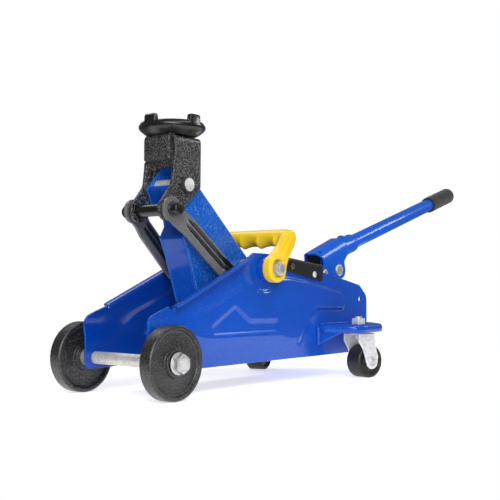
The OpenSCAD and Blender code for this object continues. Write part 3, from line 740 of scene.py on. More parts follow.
def links():
    """Bent side links with two rolled grooves, and the pin across their upper eyes."""
    side_dir = np.array([ARM_DIR[1], -ARM_DIR[0]])
    eye_turn = math.degrees(math.asin(LINK_HALF / LINK_EYE_R))
    outline = (arc((0, 0), LINK_EYE_R, eye_turn, 360 - eye_turn, 28)
               + arc((LINK_SPAN, 0), LINK_EYE_R, 180 + eye_turn, 540 - eye_turn, 28))

    def groove(u, v):
        """Depth of the rolled grooves, whose ends run out to points."""
        deepest = 0
        for centre, start, end in GROOVES:
            taper = np.minimum(smooth(start, start + 14, u), smooth(end, end - 16, u))
            across = np.clip(np.abs(v - centre) / np.maximum(GROOVE_HALF * taper, 0.05), 0, 1)
            deepest = np.maximum(deepest, GROOVE_DEPTH * taper * (1 - across ** 2))
        return deepest

    def plain(u):
        """How far out the link's outer face lies, without its grooves."""
        lean = LINK_BASE_OUT - LINK_KNEE_OUT
        step = LINK_KNEE_OUT - LINK_TOP_OUT
        out = LINK_BASE_OUT - lean * ramp((u - LINK_EYE_R) / (LINK_KNEE - LINK_EYE_R), 0.05)
        return out - step * ramp((u - LINK_KNEE) / (LINK_SPAN - LINK_EYE_R - LINK_KNEE), 0.18)

    def place(uv):
        u, v = uv[:, 0], uv[:, 1]
        x = LINK_BASE[0] + u * ARM_DIR[0] + v * side_dir[0]
        z = LINK_BASE[1] + u * ARM_DIR[1] + v * side_dir[1]
        return np.stack([x, plain(u) - groove(u, v), z], 1)

    holes = [circle((0, 0), 6.2), circle((LINK_SPAN, 0), 7.1)]
    points, faces = pressed(outline, holes, place, LINK_T, 0.6, 1.0)
    # The grooves are coined into the face, so the back stays flat and clears the saddle pin
    along = (points[:, [0, 2]] - LINK_BASE) @ np.array(ARM_DIR)
    points[:, 1] = np.maximum(points[:, 1], plain(along) - LINK_T)
    for _, link in add_pairs(
            ("rolled_link", (points, faces), LIT_LINK_BLACK, "links", "{}_link", "black_coat", 50)):
        # The grooves and the lower end take the darker saddle black as painted shade, against the
        # paler lit face
        link.data.materials.append(SADDLE_BLACK)
        for face in link.data.polygons:
            rel = ((face.center.x - AXLE_X) / MM - LINK_BASE[0], face.center.z / MM - LINK_BASE[1])
            u, v = float(np.dot(rel, ARM_DIR)), float(np.dot(rel, side_dir))
            if groove(u, v) > 0.7 or u < 46 + 0.5 * v:
                face.material_index = 1
    face = LINK_TOP_OUT - 0.4
    end = turned([(0.01, face), (8.4, face), (8.4, face + 1.4), (7.8, face + 2), (7, face + 2.2),
                  (7, CROSS_PIN_END - 1.2), (6.3, CROSS_PIN_END - 0.3), (5.2, CROSS_PIN_END),
                  (0.01, CROSS_PIN_END)], at=LINK_TOP)
    bar = turned([(7, -face), (7, face), (0.01, face), (0.01, -face)], at=LINK_TOP)
    add_piece("link_pin_bar", joined(both_ends(end), bar), SADDLE_BLACK, "links",
              "link_cross_pin")


# ---- Saddle bracket ----

BRACKET_OUT = 24.3
BRACKET_T = 4
BRACKET_TOP = 292
BRACKET_BEND = 5
WEB_X, WEB_HALF = 59, 20.1


def saddle_bracket():
    """One U-shaped stamping: a top with a cheek folded down on each side."""
    web_half = BRACKET_OUT - BRACKET_BEND

    def to_t(z):
        """Flat distance from the middle line for a point on a cheek at height z."""
        return web_half + BRACKET_BEND * math.pi / 2 + (BRACKET_TOP - BRACKET_BEND - z)

    half = [(96.4, 285), (95.8, 234.8), (95.2, 233.4), (68.2, 209.6), (66, 207.8)]
    half += arc(LINK_TOP, 13, -44, -214, 20)
    half += [(46.5, 233), (48.6, 237), (51, 255), (51.4, 262), (53.4, 265), (54, 286)]
    loop = both_halves([(96.4, 0)] + [(x, to_t(z)) for x, z in half] + [(54, 0)])

    def place(uv):
        across, down = folded(np.abs(uv[:, 1]), web_half, BRACKET_BEND)
        return np.stack([uv[:, 0], np.sign(uv[:, 1]) * across, BRACKET_TOP - down], 1)

    holes = [[(p[0], s * to_t(p[1])) for p in circle(centre, r)]
             for centre, r in ((SADDLE_PIVOT, 8.1), (LINK_TOP, 7.4)) for s in (-1, 1)]
    holes.append(circle((SADDLE_X, 0), 10.1))
    add_piece("bracket_stamping", pressed(loop, holes, place, BRACKET_T, 0.6, 2.0), BLACK,
              "bracket", "saddle_bracket")

    # The front web is folded down from the top between two slits
    def web_place(uv):
        out, down = folded(uv[:, 1], 3, BRACKET_BEND)
        return np.stack([WEB_X - out, -uv[:, 0], BRACKET_TOP - down], 1)

    web = rounded([(-WEB_HALF, 0, 0), (-WEB_HALF, 34, 2), (WEB_HALF, 34, 2), (WEB_HALF, 0, 0)])
    add_piece("bracket_front_web", pressed(web, [], web_place, BRACKET_T, 0.7, 1.8), BLACK,
              "bracket", "")
    shank = turned([(0.01, -20), (7.9, -20), (7.9, 20), (0.01, 20)], at=SADDLE_PIVOT)
    collar = turned([(0.01, 19.8), (8, 19.8), (8, 31.5), (0.01, 31.5)], at=SADDLE_PIVOT)
    tip = turned(rounded([(0.01, 31.3), (7.6, 31.3), (7.6, 32.4, 0.7), (0.01, 33)], 4),
                 at=SADDLE_PIVOT)
    add_piece("saddle_hinge_pin", shank, WHITE_ZINC, "arm", "saddle_pin")
    add_piece("saddle_pin_collars", both_ends(collar), BLACK, "arm", "")
    add_piece("saddle_pin_ends", both_ends(tip), WHITE_ZINC, "arm", "")


# ---- Saddle ----

def saddle():
    """Cast cup whose rim carries four horns; the horns grow out of the rim."""
    base, rim, horn_top = 293, 309, 316
    horn_half = math.radians(12)
    low = [(8, base), (26.4, base), (27.4, base + 0.6), (32.6, base + 3.2), (37.2, base + 7),
           (38.8, base + 9.4), (38.9, base + 11.6), (38.2, base + 13)]
    rim_line = [(36.4, rim - 0.4), (35.4, rim), (32.6, rim), (31.6, rim - 0.5), (29.6, 304),
                (28.2, 302.2)]
    horn_line = [(38.2, horn_top - 1.6), (36.8, horn_top), (31.2, horn_top),
                 (30.2, horn_top - 1.2), (29.4, 306), (28.4, 302.6)]
    floor = [(24, 302), (8, 302)]
    rings = []
    for a in np.linspace(0, 2 * math.pi, 288, endpoint=False):
        off = abs((a + math.pi / 4) % (math.pi / 2) - math.pi / 4)
        horn = float(smooth(horn_half + 0.045, horn_half - 0.02, off))
        ring = low + [tuple(np.add(np.multiply(r, 1 - horn), np.multiply(h, horn)))
                      for r, h in zip(rim_line, horn_line)] + floor
        rings.append([(SADDLE_X + r * math.cos(a), r * math.sin(a), z) for r, z in ring])
    add_piece("saddle_casting", lofted(rings, True), SADDLE_BLACK, "saddle", "saddle",
              sharp=38)


# ---- Lift arm ----

ARM_OUT = 20
ARM_BEND = 4.5
ARM_TIP = (75, 259)
ARM_HUB_R = 17.5
NOSE_HALF = 16.9


def lift_arm():
    """U-shaped pressing with its back along the top and a cheek on each side."""
    heel = np.array(arc(PIVOT, ARM_HUB_R, 47, 47, 1)[0])
    along_dir = unit(np.subtract(ARM_TIP, heel))
    up_dir = np.array([along_dir[1], -along_dir[0]])
    web_half = ARM_OUT - ARM_BEND

    def flat(p):
        """A cheek's point on the blank: along the back, and out from its middle line."""
        rel = np.subtract(p, heel)
        return (float(rel @ along_dir),
                web_half + ARM_BEND * (math.pi / 2 - 1) - float(rel @ up_dir))

    cheek = ([(71.6, 255.3), (50, 232), (51.5, 228.5), (59, 213), (75.6, 201.2), (78, 198),
              (80, 190), (72, 176), (81, 157), (100, 103)]
             + arc(RAM_PIN, 13, 232, 322, 10) + arc(PIVOT, ARM_HUB_R, -38, 33, 20))
    length = float(np.subtract(ARM_TIP, heel) @ along_dir)
    loop = both_halves([(length, 0)] + [flat(p) for p in cheek] + [(0, 0)])

    def place(uv):
        across, down = folded(np.abs(uv[:, 1]), web_half, ARM_BEND)
        p = heel + uv[:, :1] * along_dir - down[:, None] * up_dir
        return np.stack([p[:, 0], -np.sign(uv[:, 1]) * across, p[:, 1]], 1)

    holes = []
    for centre, r in ((SADDLE_PIVOT, 8.1), (PIVOT, 12.4), (RAM_PIN, 7.1)):
        holes += [[(a, s * t) for a, t in circle(flat(centre), r)] for s in (-1, 1)]
    add_piece("arm_pressing", pressed(loop, holes, place, SHEET, 0.5, 2.0), ARM_BLUE, "arm",
              "lift_arm")

    # Front closing plate, welded between the cheeks, in two pieces with creases
    def plate(name, line, thick, node):
        line = np.array(line, float)
        steps = np.linalg.norm(np.diff(line, axis=0), axis=1)
        ends = np.concatenate([[0], np.cumsum(steps)])

        def at(s):
            return np.stack([np.interp(s, ends, line[:, 0]), np.interp(s, ends, line[:, 1])], 1)

        def face(uv):
            soft = sum(at(uv[:, 0] + d) for d in (-1.6, -0.8, 0, 0.8, 1.6)) / 5
            return np.stack([soft[:, 0], uv[:, 1], soft[:, 1]], 1)

        lo, hi = 1.7, ends[-1] - 1.7
        blank = [(lo, -NOSE_HALF), (hi, -NOSE_HALF), (hi, NOSE_HALF), (lo, NOSE_HALF)]
        add_piece(name, pressed(blank, [], face, thick, 0.4, 1.8), BLUE, "arm", node)

    plate("arm_closing_plate", [(100, 102), (81, 157), (71.6, 176), (80.5, 190.5), (77.5, 199.5)],
          2.6, "arm_front_plate")
    plate("arm_nose_plate", [(59.6, 212.6), (50.2, 232), (54, 236.4)], 2.4, "")


# ---- Wheels, nuts and axle ----

WHEEL_IN, WHEEL_W = 62.7, 16.7
THREAD_PITCH = 1.5


def wheel_profile(r, w, bore, hub_r, web, rim, hub_w):
    """Half section of a wheel of width w from height 0, mirrored about its middle."""
    mid = w / 2
    half = [(bore, mid - hub_w / 2, 0.3), (hub_r, mid - hub_w / 2, 1.2),
            (hub_r + 1.2, mid - web / 2, 1.2), (r - rim - 1.8, mid - web / 2, 2.2),
            (r - rim, 0, 0.9), (r - 1.6, 0, 0.6), (r, 1.4, 1.6)]
    return rounded(half + [(x, w - y, soft) for x, y, soft in reversed(half)], 4)


def front_wheels():
    profile = [(r, h + WHEEL_IN)
               for r, h in wheel_profile(40, WHEEL_W, 7.05, 14.5, 8.5, 4.6, WHEEL_W)]
    add_pairs(("cast_wheel", turned(profile, at=AXLE, steps=160), CAST, "{}_front_wheel",
               "{}_front_wheel", "cast_black", 60))


def hex_nut(at, across_flats, y0, y1, bore, dome=0.0):
    """A chamfered nut along Y, with its outer face at y1; dome draws its bore's edge out."""
    flat_r = across_flats / 2
    corner_r = flat_r / math.cos(math.pi / 6)
    drop = (corner_r - flat_r) * 0.85
    # The nut's own rings carry a number above 90 in place of a radius
    limits = {99: corner_r, 98: (corner_r + flat_r) / 2, 97: flat_r * 0.985}
    line = [(bore, y0), (99, y0), (99, y1 - drop - 0.2), (98, y1 - drop * 0.35), (97, y1),
            (bore + 0.5, y1 + dome), (bore, y1 + dome)]

    def radius(r, a):
        hexagon = flat_r / math.cos((a + math.pi / 6) % (math.pi / 3) - math.pi / 6)
        return min(hexagon, limits[r]) if r in limits else r

    return turned(line, at=at, radius=radius)


def threaded_end(at, r, y0, y1):
    """A screw's end: rings of thread and a chamfer."""
    line = [(0.01, y0), (r, y0)]
    for k in range(math.ceil((y1 - 2.2 - y0) / THREAD_PITCH)):
        y = y0 + k * THREAD_PITCH
        line += [(r, y + 0.15), (r - 0.55, y + THREAD_PITCH / 2), (r, y + THREAD_PITCH - 0.15)]
    line += [(r, y1 - 1.9), (r - 0.9, y1 - 0.8), (r * 0.5, y1 - 0.15), (0.01, y1)]
    return turned(line, at=at, steps=64)


def axle_ends():
    out = WHEEL_IN + WHEEL_W
    flange = turned(rounded([(6, out + 1), (12, out + 1, 0.5), (11.6, out + 2.6, 0.7),
                             (6, out + 2.6)], 3), at=AXLE)
    nut = joined(hex_nut(AXLE, 18.6, out + 2.5, out + 9.6, 5.9),
                 threaded_end(AXLE, 5.85, out + 2.3, out + 11.5))
    add_pairs(("axle_washer", flange, ZINC, "chassis", "front_axle_washers", "zinc", 50),
              ("axle_nut", nut, ZINC, "chassis", "front_axle_nuts", "zinc", 30))


def pivot_ends():
    washer = turned(rounded([(5, 70.5), (9.6, 70.5, 0.4), (9.3, 72.1, 0.6), (5, 72.1)], 3),
                    at=PIVOT)
    end = turned(rounded([(0.01, 70), (4.95, 70), (4.95, 78.6, 1.2), (0.01, 79.6)], 4), at=PIVOT,
                 steps=48)
    nut = joined(hex_nut(PIVOT, 15.6, 72.0, 78.4, 4.9, dome=0.8), end)
    add_pairs(("pivot_washer", washer, ZINC, "chassis", "pivot_washers", "zinc", 50),
              ("pivot_nut", nut, ZINC, "chassis", "pivot_nuts", "zinc", 30))


# ---- Carry handle ----

HUB_IN, HUB_OUT, HUB_R = 62, 75, 17
BAR = (208, 179)
BAR_R = 11
FINGER_PITCH = 26.5


def carry_handle():
    """Moulded bail: two arms and a bar with finger grooves, run together with soft fillets."""
    reach = math.dist(PIVOT, BAR)
    along = unit(np.subtract(BAR, PIVOT))
    across = np.array([-along[1], along[0]])
    towards_hub = math.atan2(-along[1], -along[0])

    def at(u, v):
        """A point of an arm: u along it from the pivot, v across it."""
        return tuple(np.array(PIVOT) + u * along + v * across)

    def around(r, degrees):
        return [at(r * math.cos(a), r * math.sin(a)) for a in np.radians(degrees)]

    hub = turned(rounded([
        (8.1, HUB_IN), (HUB_R - 0.4, HUB_IN, 1.6), (HUB_R, HUB_OUT, 2.6), (11.4, HUB_OUT, 0.8),
        (10.5, HUB_OUT - 2.4, 0.8), (10.4, 70.1, 0.3), (8.1, 70.1, 0.2)], 4), at=PIVOT, steps=120)
    outer = [(0.5, 14.6), (12, 14.4), (26, 10.6), (reach - 6, 11), (reach + 3, 10),
             (reach + 8.5, 5), (reach + 9.5, -1), (reach + 6, -8), (reach - 6, -10.6),
             (26, -10.2), (11, -14), (0.5, -15)]
    arm = slab([at(*p) for p in outer] + around(12.2, np.linspace(-62, 62, 12)), [], HUB_IN + 0.5,
               HUB_OUT - 1.2, 2.2)
    spine = slab([at(16, 3), at(reach + 4, 4), at(reach + 5, -3), at(16, -4)], [], HUB_IN + 3,
                 HUB_OUT - 0.4, 1.8)
    teeth = [shifted(swept([(x, z, y) for y in (65, 68, 72)], lambda t: 2.3, 14),
                     lambda x, z, y: (x, y, z)) for x, z in around(HUB_R, (-66, -42, -18))]

    # The bar swells between the fingers on the side that faces the hub
    bar = []
    for y in np.linspace(-70, 70, 221):
        end = math.sqrt(max(0.0, 1 - max(0, abs(y) - 64) ** 2 / 6.2 ** 2))
        lump = 1 - abs(math.sin(math.pi * y / FINGER_PITCH)) ** 0.9
        lump *= 1 - float(smooth(52, 60, abs(y)))
        bar.append([])
        for a in np.linspace(0, 2 * math.pi, 72, endpoint=False):
            under = max(0.0, math.cos(a - towards_hub)) ** 1.6
            r = BAR_R * end + under * end * (5.0 * lump - 2.6)
            bar[-1].append((BAR[0] + r * math.cos(a), y, BAR[1] + r * math.sin(a)))
    side = joined(hub, arm, spine, *teeth)
    add_piece("carry_bail", fused("bail", [both_ends(side), lofted(bar)], 0.85, 5), YELLOW,
              "carry_handle", "carry_handle", sharp=80)


# ---- Handle socket and handle ----

SLOPE = math.radians(16.8)
TUBE_FOOT = (384.7, 162.9)
SOCKET_PIVOT = (361, 137.5)
ROLLER = (394.5, 142.2)
HOOD_HALF, HOOD_CROWN, HOOD_WALL = 17, 14.9, 3
HOOD_TILT = math.radians(3.3)
TUBE_R = 10.3
HANDLE_END = 393


def on_tube(u, y, v):
    """From the tube's own frame, u along it and v square to it, to chassis coordinates."""
    return (TUBE_FOOT[0] + u * math.cos(SLOPE) - v * math.sin(SLOPE), y,
            TUBE_FOOT[1] + u * math.sin(SLOPE) + v * math.cos(SLOPE))


def in_tube(point):
    """A chassis point (x, z) in the tube's own frame."""
    dx, dz = point[0] - TUBE_FOOT[0], point[1] - TUBE_FOOT[1]
    return (dx * math.cos(SLOPE) + dz * math.sin(SLOPE),
            -dx * math.sin(SLOPE) + dz * math.cos(SLOPE))


def handle_socket():
    """Folded hood welded over a collar, with the pump's roller across it."""
    shoulder = math.asin(HOOD_CROWN / HOOD_HALF)
    flat_half = HOOD_HALF * math.cos(shoulder)
    arc_len = HOOD_HALF * shoulder

    def develop(u, v):
        """Blank coordinates of a point on the near cheek's side outline."""
        u, v = (u * math.cos(HOOD_TILT) + v * math.sin(HOOD_TILT),
                v * math.cos(HOOD_TILT) - u * math.sin(HOOD_TILT))
        if v > 0:
            turn = shoulder - math.asin(min(v, HOOD_CROWN) / HOOD_HALF)
            return u, flat_half + HOOD_HALF * turn
        return u, flat_half + arc_len - v

    side = [(-34, 11, 3), (-28.5, 4, 5), (-28.5, -6, 4), (-37, -16, 6), (-34.5, -29, 9),
            (-20, -29, 6), (-6, -36, 10), (14, -36, 10), (19.5, -28, 8), (20.5, -14.5, 6),
            (33.5, -7, 3), (34, 11, 6)]
    half = [(*develop(u, v), r) for u, v, r in side]
    loop = rounded(both_halves([(half[0][0] - 0.6, 0, 0)] + half + [(half[-1][0] + 0.4, 0, 0)]))

    def place(uv):
        u, t = uv[:, 0], np.abs(uv[:, 1])
        a = shoulder - np.clip((t - flat_half) / HOOD_HALF, 0, shoulder)
        y = np.where(t < flat_half, t, HOOD_HALF * np.cos(a)) + 0.5 * smooth(30, 60, t)
        v = np.where(t < flat_half, HOOD_CROWN, HOOD_HALF * np.sin(a))
        v = v - np.clip(t - flat_half - arc_len, 0, None)
        x, y, z = on_tube(u * math.cos(HOOD_TILT) - v * math.sin(HOOD_TILT),
                          y * np.sign(uv[:, 1]),
                          u * math.sin(HOOD_TILT) + v * math.cos(HOOD_TILT))
        return np.stack([x, y, z], 1)

    holes = []
    for centre, r in ((SOCKET_PIVOT, 5.6), (ROLLER, 8.6)):
        u, t = develop(*in_tube(centre))
        holes += [circle((u, s * t), r) for s in (-1, 1)]
    holes.append(circle((-24, -11), 2.4, 20))
    collar = turned(rounded([(10.4, -12, 0.4), (12.6, -12, 0.6), (13.4, 24, 2), (13.4, 70, 1.3),
                             (10.4, 70, 0.5)], 4), "x")
    bead = [on_tube(34.2 + 1.2 * math.sin(3 * a), 15.2 * math.sin(a), 15.0 * math.cos(a))
            for a in np.linspace(-1.75, 1.75, 90)]
    # Clamp screw in a nut that is welded to the collar
    nut = shifted(hex_nut((0, 0), 9.4, 12.4, 16.2, 2.9), lambda x, y, z: on_tube(46 + x, z, y))
    screw = turned(rounded([(0.01, 12), (2.9, 12), (2.9, 17.2, 0.7), (1.5, 17.4, 0.3),
                            (1.3, 15.8), (0.01, 15.8)], 2), "z", steps=40)
    for name, part, colour, node, slot, sharp in (
            ("socket_hood", pressed(loop, holes, place, HOOD_WALL, 0.7, 1.7), TUBE_BLUE,
             "handle_socket", "blue_handle", 50),
            ("socket_collar", shifted(collar, on_tube), TUBE_BLUE, "", "blue_handle", 50),
            ("socket_weld", swept(bead, lambda t: 1.5 + 0.35 * math.sin(80 * t)), TUBE_BLUE, "",
             "blue_handle", 80),
            ("clamp_nut", nut, TUBE_BLUE, "socket_screw", "black_coat", 30),
            ("clamp_screw", shifted(screw, lambda x, y, z: on_tube(46 + x, y, z)), BLACK, "",
             "black_coat", 50)):
        add_piece(name, part, colour, "handle_socket", node, sharp=sharp)
    for name, centre, r, half_len, body, node in (
            ("pump_roller", ROLLER, 8.5, 19.5, "handle_socket", "socket_roller"),
            ("socket_hinge_pin", SOCKET_PIVOT, 5.5, 18.6, "chassis", "socket_pin")):
        end = [(r - d, half_len - h) for d, h in (
            (0, 1.6), (0.5, 0.7), (1.3, 0.2), (1.7, 0), (2.2, 0.1), (2.5, 0.5), (r - 0.01, 0.45))]
        line = [(p[0], -p[1]) for p in reversed(end)] + end
        add_piece(name, turned(line, at=centre), ZINC, body, node)


def pump_handle():
    """Steel tube with a ribbed foam sleeve over its end."""
    tube = turned(rounded([(8.3, -26, 0.3), (TUBE_R, -26, 0.6), (TUBE_R, HANDLE_END - 6, 0.3),
                           (8.3, HANDLE_END - 6, 0.3)], 3), "x")
    add_piece("handle_bar", shifted(tube, on_tube), TUBE_BLUE, "pump_handle", "handle_tube")
    line = [(10.35, 317.3), (12.2, 317), (12.8, 317.8)]
    line += [(12.95 - 0.1 * math.cos(0.42 * k), 319 + 1.5 * k) for k in range(46)]
    line += [(8 + 5 * math.cos(a), HANDLE_END - 5 + 5 * math.sin(a))
             for a in np.linspace(0.15, 1.57, 9)]
    line += [(0.01, HANDLE_END), (0.01, HANDLE_END - 5.6), (10.35, HANDLE_END - 5.6)]
    add_piece("foam_sleeve", shifted(turned(line, "x"), on_tube), GRIP, "pump_handle",
              "handle_grip", sharp=60)


# ---- Pump cover ----

COVER_OUT = 55.8
COVER_FRONT, COVER_REAR = 224, 299
COVER_FALL = 8.2 / 75


def pump_cover():
    """Folded sheet over the pump with a flap down each side, held by four rivets."""
    bend, thick = 2.5, 2.5
    top_half = COVER_OUT - bend

    def top(x):
        return 156 - (x - COVER_FRONT) * COVER_FALL

    def develop(x, z):
        return x, top_half + bend * (math.pi / 2 - 1) + top(x) - z

    flap = [(COVER_FRONT, 153, 0), (222.4, 139, 2.5), (287.6, 127, 2), (288, 133.5, 1.5),
            (291.8, 133.5, 1.5), (292.4, 125.8, 2.2), (299, 126.4, 3), (COVER_REAR, 145, 0)]
    half = [(*develop(x, z), r) for x, z, r in flap]
    loop = rounded(both_halves([(COVER_FRONT, 0, 0)] + half + [(COVER_REAR, 0, 0)]))

    def place(uv):
        x, t = uv[:, 0], uv[:, 1]
        across, down = folded(np.abs(t), top_half, bend)
        return np.stack([x, np.sign(t) * across, top(x) - down], 1)

    rivets = ((232, 145), (279.5, 135))
    holes = [circle((develop(*c)[0], s * develop(*c)[1]), 2.6, 24) for c in rivets for s in (-1, 1)]
    add_piece("cover_stamping", pressed(loop, holes, place, thick, 0.6, 2.2), COVER_BLACK,
              "chassis", "pump_cover")
    line = [(0.01, -1.8), (2.5, -1.8), (2.5, 0), (4.1, 0, 0.3), (4.0, 0.9, 0.4), (2.9, 1.0, 0.2),
            (2.4, 1.7, 0.5), (0.01, 1.7)]
    line = rounded([(r, COVER_OUT + h, *soft) for r, h, *soft in line], 3)
    for k, (colour, node) in enumerate(((BLACK, "cover_screws"), (WHITE_ZINC, ""))):
        add_piece(f"cover_rivets_{k + 1}", both_ends(turned(line, at=rivets[k], steps=48)), colour,
                  "chassis", node)


# ---- Caster brackets ----

EAR = [(399, 52.2, 0), (400, 70, 14), (366, 107, 26), (310, 107, 22), (292, 62, 8), (292, 52.2, 0)]


def caster_ears():
    """Pressed shelf with a turned-down rim, welded to the side plate."""
    loop = resampled(rounded(EAR, 10), 4)
    if area(loop) < 0:
        loop.reverse()
    base = np.array(loop)
    over = [(0.5, 59.8), (0, 60.4), (0, 65.6), (0.35, 67.4), (1.3, 68.9), (2.6, 69.7), (4.2, 70.0),
            (7.5, 69.7), (9.5, 69.5), (12, 69.5)]
    under = [(12, 66.5), (4.4, 66.6), (3.3, 65.6), (3.0, 64.4), (3.0, 60.2), (2.5, 59.6)]
    rings = []
    for d, z in over + under:
        ring = inset(loop, d) if d else base
        at_plate = base[:, 1] < 53.2
        rings.append([(x, 52.2 if fixed else y, z) for (x, y), fixed in zip(ring, at_plate)])
    points, faces = lofted(rings, True)
    # The shelf's top and underside close the skin in place of a wall between them
    n, last = len(loop), len(over) - 1
    faces[last * n:(last + 1) * n] = [tuple(range(last * n, (last + 1) * n)),
                                      tuple(range((last + 1) * n, (last + 2) * n))]
    gusset = slab([(291, 44), (334, 58), (334, 61.5), (291, 61.5)], [], 52.4, 55, 0.4)
    skirt = shifted(slab([(52.6, 44), (70, 53), (84, 60.6), (84, 62), (52.6, 62)], [], 0, 2.6, 0.4),
                    lambda y, x, z: (292.4 + x + max(0, y - 62) * 0.4, y, z))
    welds = joined(weld((289.6, 54.6, 43), (289.6, 54.6, 68), 2.5, 3.8),
                   weld((293, 54.2, 70.2), (398, 54.2, 70.2), 1.7, 2.8),
                   weld((399.6, 54.0, 61), (399.6, 54.0, 69), 1.8, 3.0))
    add_pairs(
        ("caster_shelf", (points, faces), BLUE, "chassis", "{}_caster_ear", "blue_frame", 50),
        ("shelf_gusset", joined(gusset, skirt), BLUE, "chassis", "", "blue_frame", 50),
        ("shelf_welds", welds, BLUE, "chassis", "", "blue_frame", 80))


# ---- Casters ----

CASTER = (335.5, 87)
CASTER_SWING = math.radians(14)
CASTER_R = 21.5
TRAIL = 10
CASTER_W = 24
FORK_IN, FORK_OUT = 13.2, 15.2


def at_caster(x, y, z):
    """From a caster's own frame, x trailing behind the stud, to chassis coordinates."""
    c, s = math.cos(CASTER_SWING), math.sin(CASTER_SWING)
    return CASTER[0] + x * c - y * s, CASTER[1] + x * s + y * c, z


def casters():
    """Swivel casters: pressed fork and raceway on a stud, and a plastic wheel on a rivet."""
    axle = (TRAIL, CASTER_R)
    outline = ([(-12.4, 58.6), (13.4, 58.6), (14.2, 56), (15, 44), (21, 28)]
               + arc(axle, 10, 10, -150, 16) + [(-6, 38), (-13, 48), (-13, 56)])
    cheek = both_ends(slab(outline, [circle(axle, 4.1, 32)], FORK_IN, FORK_OUT, 0.5))
    crown = turned(rounded([(5.1, 56.2, 0.2), (15, 56.2, 0.8), (15, 58.8, 1.2), (12.6, 58.8, 0.4),
                            (12.2, 58.3, 0.2), (5.1, 58.3, 0.2)], 3), "z")
    bridge = slab([(-13, 56.4), (14, 56.4), (14, 58.6), (-13, 58.6)], [], -FORK_OUT, FORK_OUT, 0.6)
    head = [(3.9, -0.2), (6.0, 0.15), (6.1, 1.0), (5.5, 1.6), (4.5, 1.5), (4.1, 1.0), (3.7, 1.2),
            (3.4, 1.9), (0.01, 2.0)]
    head = [(r, FORK_OUT + h) for r, h in head]
    rivet = turned([(r, -h) for r, h in reversed(head)] + head, at=axle, steps=64)
    section = wheel_profile(CASTER_R, CASTER_W, 4.1, 8.6, 18, 3.6, CASTER_W)
    tread = turned([(r, h - CASTER_W / 2) for r, h in section], at=axle, steps=120)
    races = turned(rounded([(5, 59.2), (15.2, 59.2, 0.8), (15.9, 61.2, 1.0), (14.4, 62.6, 0.6),
                            (14.4, 63.3, 0.5), (16, 64.4, 1.0), (16, 66.2, 0.8), (13, 66.9, 0.5),
                            (5, 66.9)], 4), "z", CASTER)
    stud = turned(rounded([(0.01, 52), (8, 52, 1), (8, 55.8, 0.4), (5, 55.8), (5, 79, 0.8),
                           (4, 80, 0.4), (0.01, 80)], 3), "z", CASTER, 64)
    nut = shifted(hex_nut((0, 0), 16.8, 70.1, 77.6, 4.9),
                  lambda x, y, z: (CASTER[0] + x, CASTER[1] + z, y))
    spot = rounded([(0.01, 69.0), (2.4, 69.0, 0.3), (2.0, 70.0, 0.8), (0.01, 70.1)], 3)
    spots = joined(*(turned(spot, "z", at, 24) for at in ((315, 83), (321, 101), (351, 98))))
    fork, rivet, tread = (shifted(part, at_caster)
                          for part in (joined(cheek, crown, bridge), rivet, tread))
    add_pairs(
        ("fork_stamping", fork, WHITE_ZINC, "{}_caster", "{}_caster_fork", "zinc_fork", 50),
        ("axle_rivet", rivet, ZINC, "{}_caster", "{}_caster_axle", "zinc", 50),
        ("caster_tread", tread, TREAD, "{}_caster_wheel", "{}_caster_wheel", "caster_tread", 60),
        ("raceway", races, WHITE_ZINC, "chassis", "caster_raceways", "zinc_fork", 50),
        ("swivel_stud", stud, ZINC, "chassis", "caster_studs", "zinc", 50),
        ("swivel_nut", nut, WHITE_ZINC, "chassis", "caster_nuts", "zinc", 30),
        ("spot_welds", spots, BLUE, "chassis", "", "blue_frame", 50))


# ---- Welds on the frame ----

def frame_welds():
    """Weld beads of the chassis and of the arm, alike on both sides."""
    for name, body, beads in (
            ("frame_welds", "chassis", (
                ((252, 49.0, 42.6), (300, 49.0, 42.6), 1.5),
                ((352, 49.0, 42.6), (400, 49.0, 42.6), 1.5),
                ((236.6, 49.2, 39), (236.6, 49.2, 49.5), 1.4),
                ((153, 49.6, 103.6), (160, 49.6, 109), 1.4))),
            ("arm_welds", "arm", (
                ((102.5, 16.6, 103.5), (83.5, 16.6, 157.5), 1.3),
                ((83.5, 16.6, 158), (75, 16.6, 176.5), 1.3),
                ((61, 16.8, 214), (52.8, 16.8, 232), 1.3)))):
        add_piece(name, both_ends(joined(*(weld(*bead) for bead in beads))), BLUE, body, "",
                  sharp=80)


# ---- Scene ----

LIGHT_TARGET = (-0.15, 0, 0.14)
LIGHTS = [
    ("front_left", (-1.5, -0.95, 0.95), (1.0, 0.8), 17),
    ("fill", (-1.05, -1.15, 0.3), (0.6, 0.5), 5),
    ("front_right", (1.25, -0.87, 0.98), (0.5, 0.4), 5),
    ("overhead", (0.05, 0.9, 1.5), (1.0, 0.7), 7),
    ("front_top", (-0.1, -0.75, 1.35), (1.2, 0.35), 5)]
FLOOR_X, FLOOR_Y = 0.6, 0.34


def area_light(name, at, size, power):
    data = bpy.data.lights.new(name, "AREA")
    data.shape = "RECTANGLE"
    data.size, data.size_y = size
    data.energy = power
    obj = add_object(name, data)
    obj.location = at
    aim = Vector(LIGHT_TARGET) - Vector(at)
    obj.rotation_euler = aim.to_track_quat("-Z", "Y").to_euler()


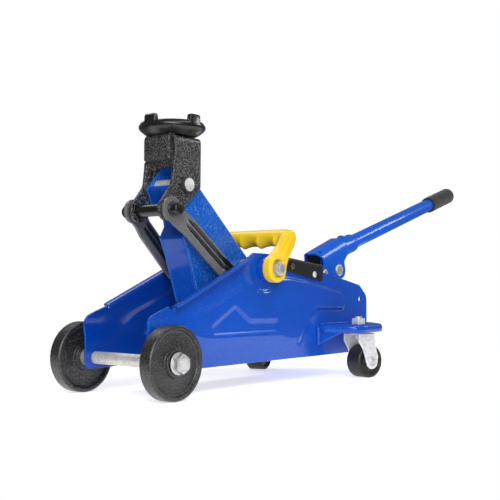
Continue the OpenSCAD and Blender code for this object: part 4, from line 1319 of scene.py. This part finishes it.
def sky(white, ambient):
    """White behind the jack, but only a dim surround in what lights it."""
    world = bpy.data.worlds.new("studio")
    bpy.context.scene.world = world
    tree = NodeTree(world)
    seen = tree.nodes["Background"]
    tree.put(seen, {"Color": (1, 1, 1, 1), "Strength": white})
    dim = tree.node("Background", {"Color": (1, 1, 1, 1), "Strength": ambient})
    camera_ray = tree.node("LightPath").outputs["Is Camera Ray"]
    mix = tree.node("MixShader", {0: camera_ray, 1: dim.outputs[0], 2: seen.outputs[0]})
    tree.put(tree.nodes["World Output"], {"Surface": mix.outputs[0]})


def studio():
    """White paper under the jack, and soft lights around it."""
    sky(1.0, 0.14)
    for name, at, size, watts in LIGHTS:
        area_light(name, at, size, watts)
    floor = bpy.data.meshes.new("floor")
    floor.from_pydata([(x, y, 0) for x, y in (
        (-FLOOR_X, -FLOOR_Y), (FLOOR_X, -FLOOR_Y), (FLOOR_X, FLOOR_Y), (-FLOOR_X, FLOOR_Y))],
        [], [(0, 1, 2, 3)])
    obj = add_object("studio_floor", floor)
    paper = Finish("studio_paper", (0.9, 0.9, 0.9, 1), 0.9, {
        "Specular IOR Level": 0, "Emission Color": (1, 1, 1, 1), "Emission Strength": 0.6})
    paper.tint(paper.levels(paper.noise(900, 2), 0.3, 0.7, 0, 0.3), (0.87, 0.87, 0.87, 1))
    floor.materials.append(paper.mat)
    bpy.context.scene.view_settings.view_transform = "Standard"


def camera():
    """A long lens low over the floor, at the jack's front left."""
    heading, pitch = math.radians(-50.7636), math.radians(2.0999)
    data = bpy.data.cameras.new("camera")
    data.sensor_width = 36
    data.lens = 66.184
    obj = add_object("camera", data)
    obj.location = (AXLE_X - 0.69383, -0.74317, 0.12297)
    look = Vector((-math.sin(heading) * math.cos(pitch), math.cos(heading) * math.cos(pitch),
                   math.sin(pitch)))
    obj.rotation_euler = look.to_track_quat("-Z", "Y").to_euler()
    bpy.context.scene.camera = obj


for make in (camera, studio, finish_cad_nodes, side_plates, links, saddle_bracket, saddle,
             lift_arm, front_wheels, axle_ends, pivot_ends, carry_handle, handle_socket,
             pump_handle, pump_cover, caster_ears, casters, frame_welds):
    make()
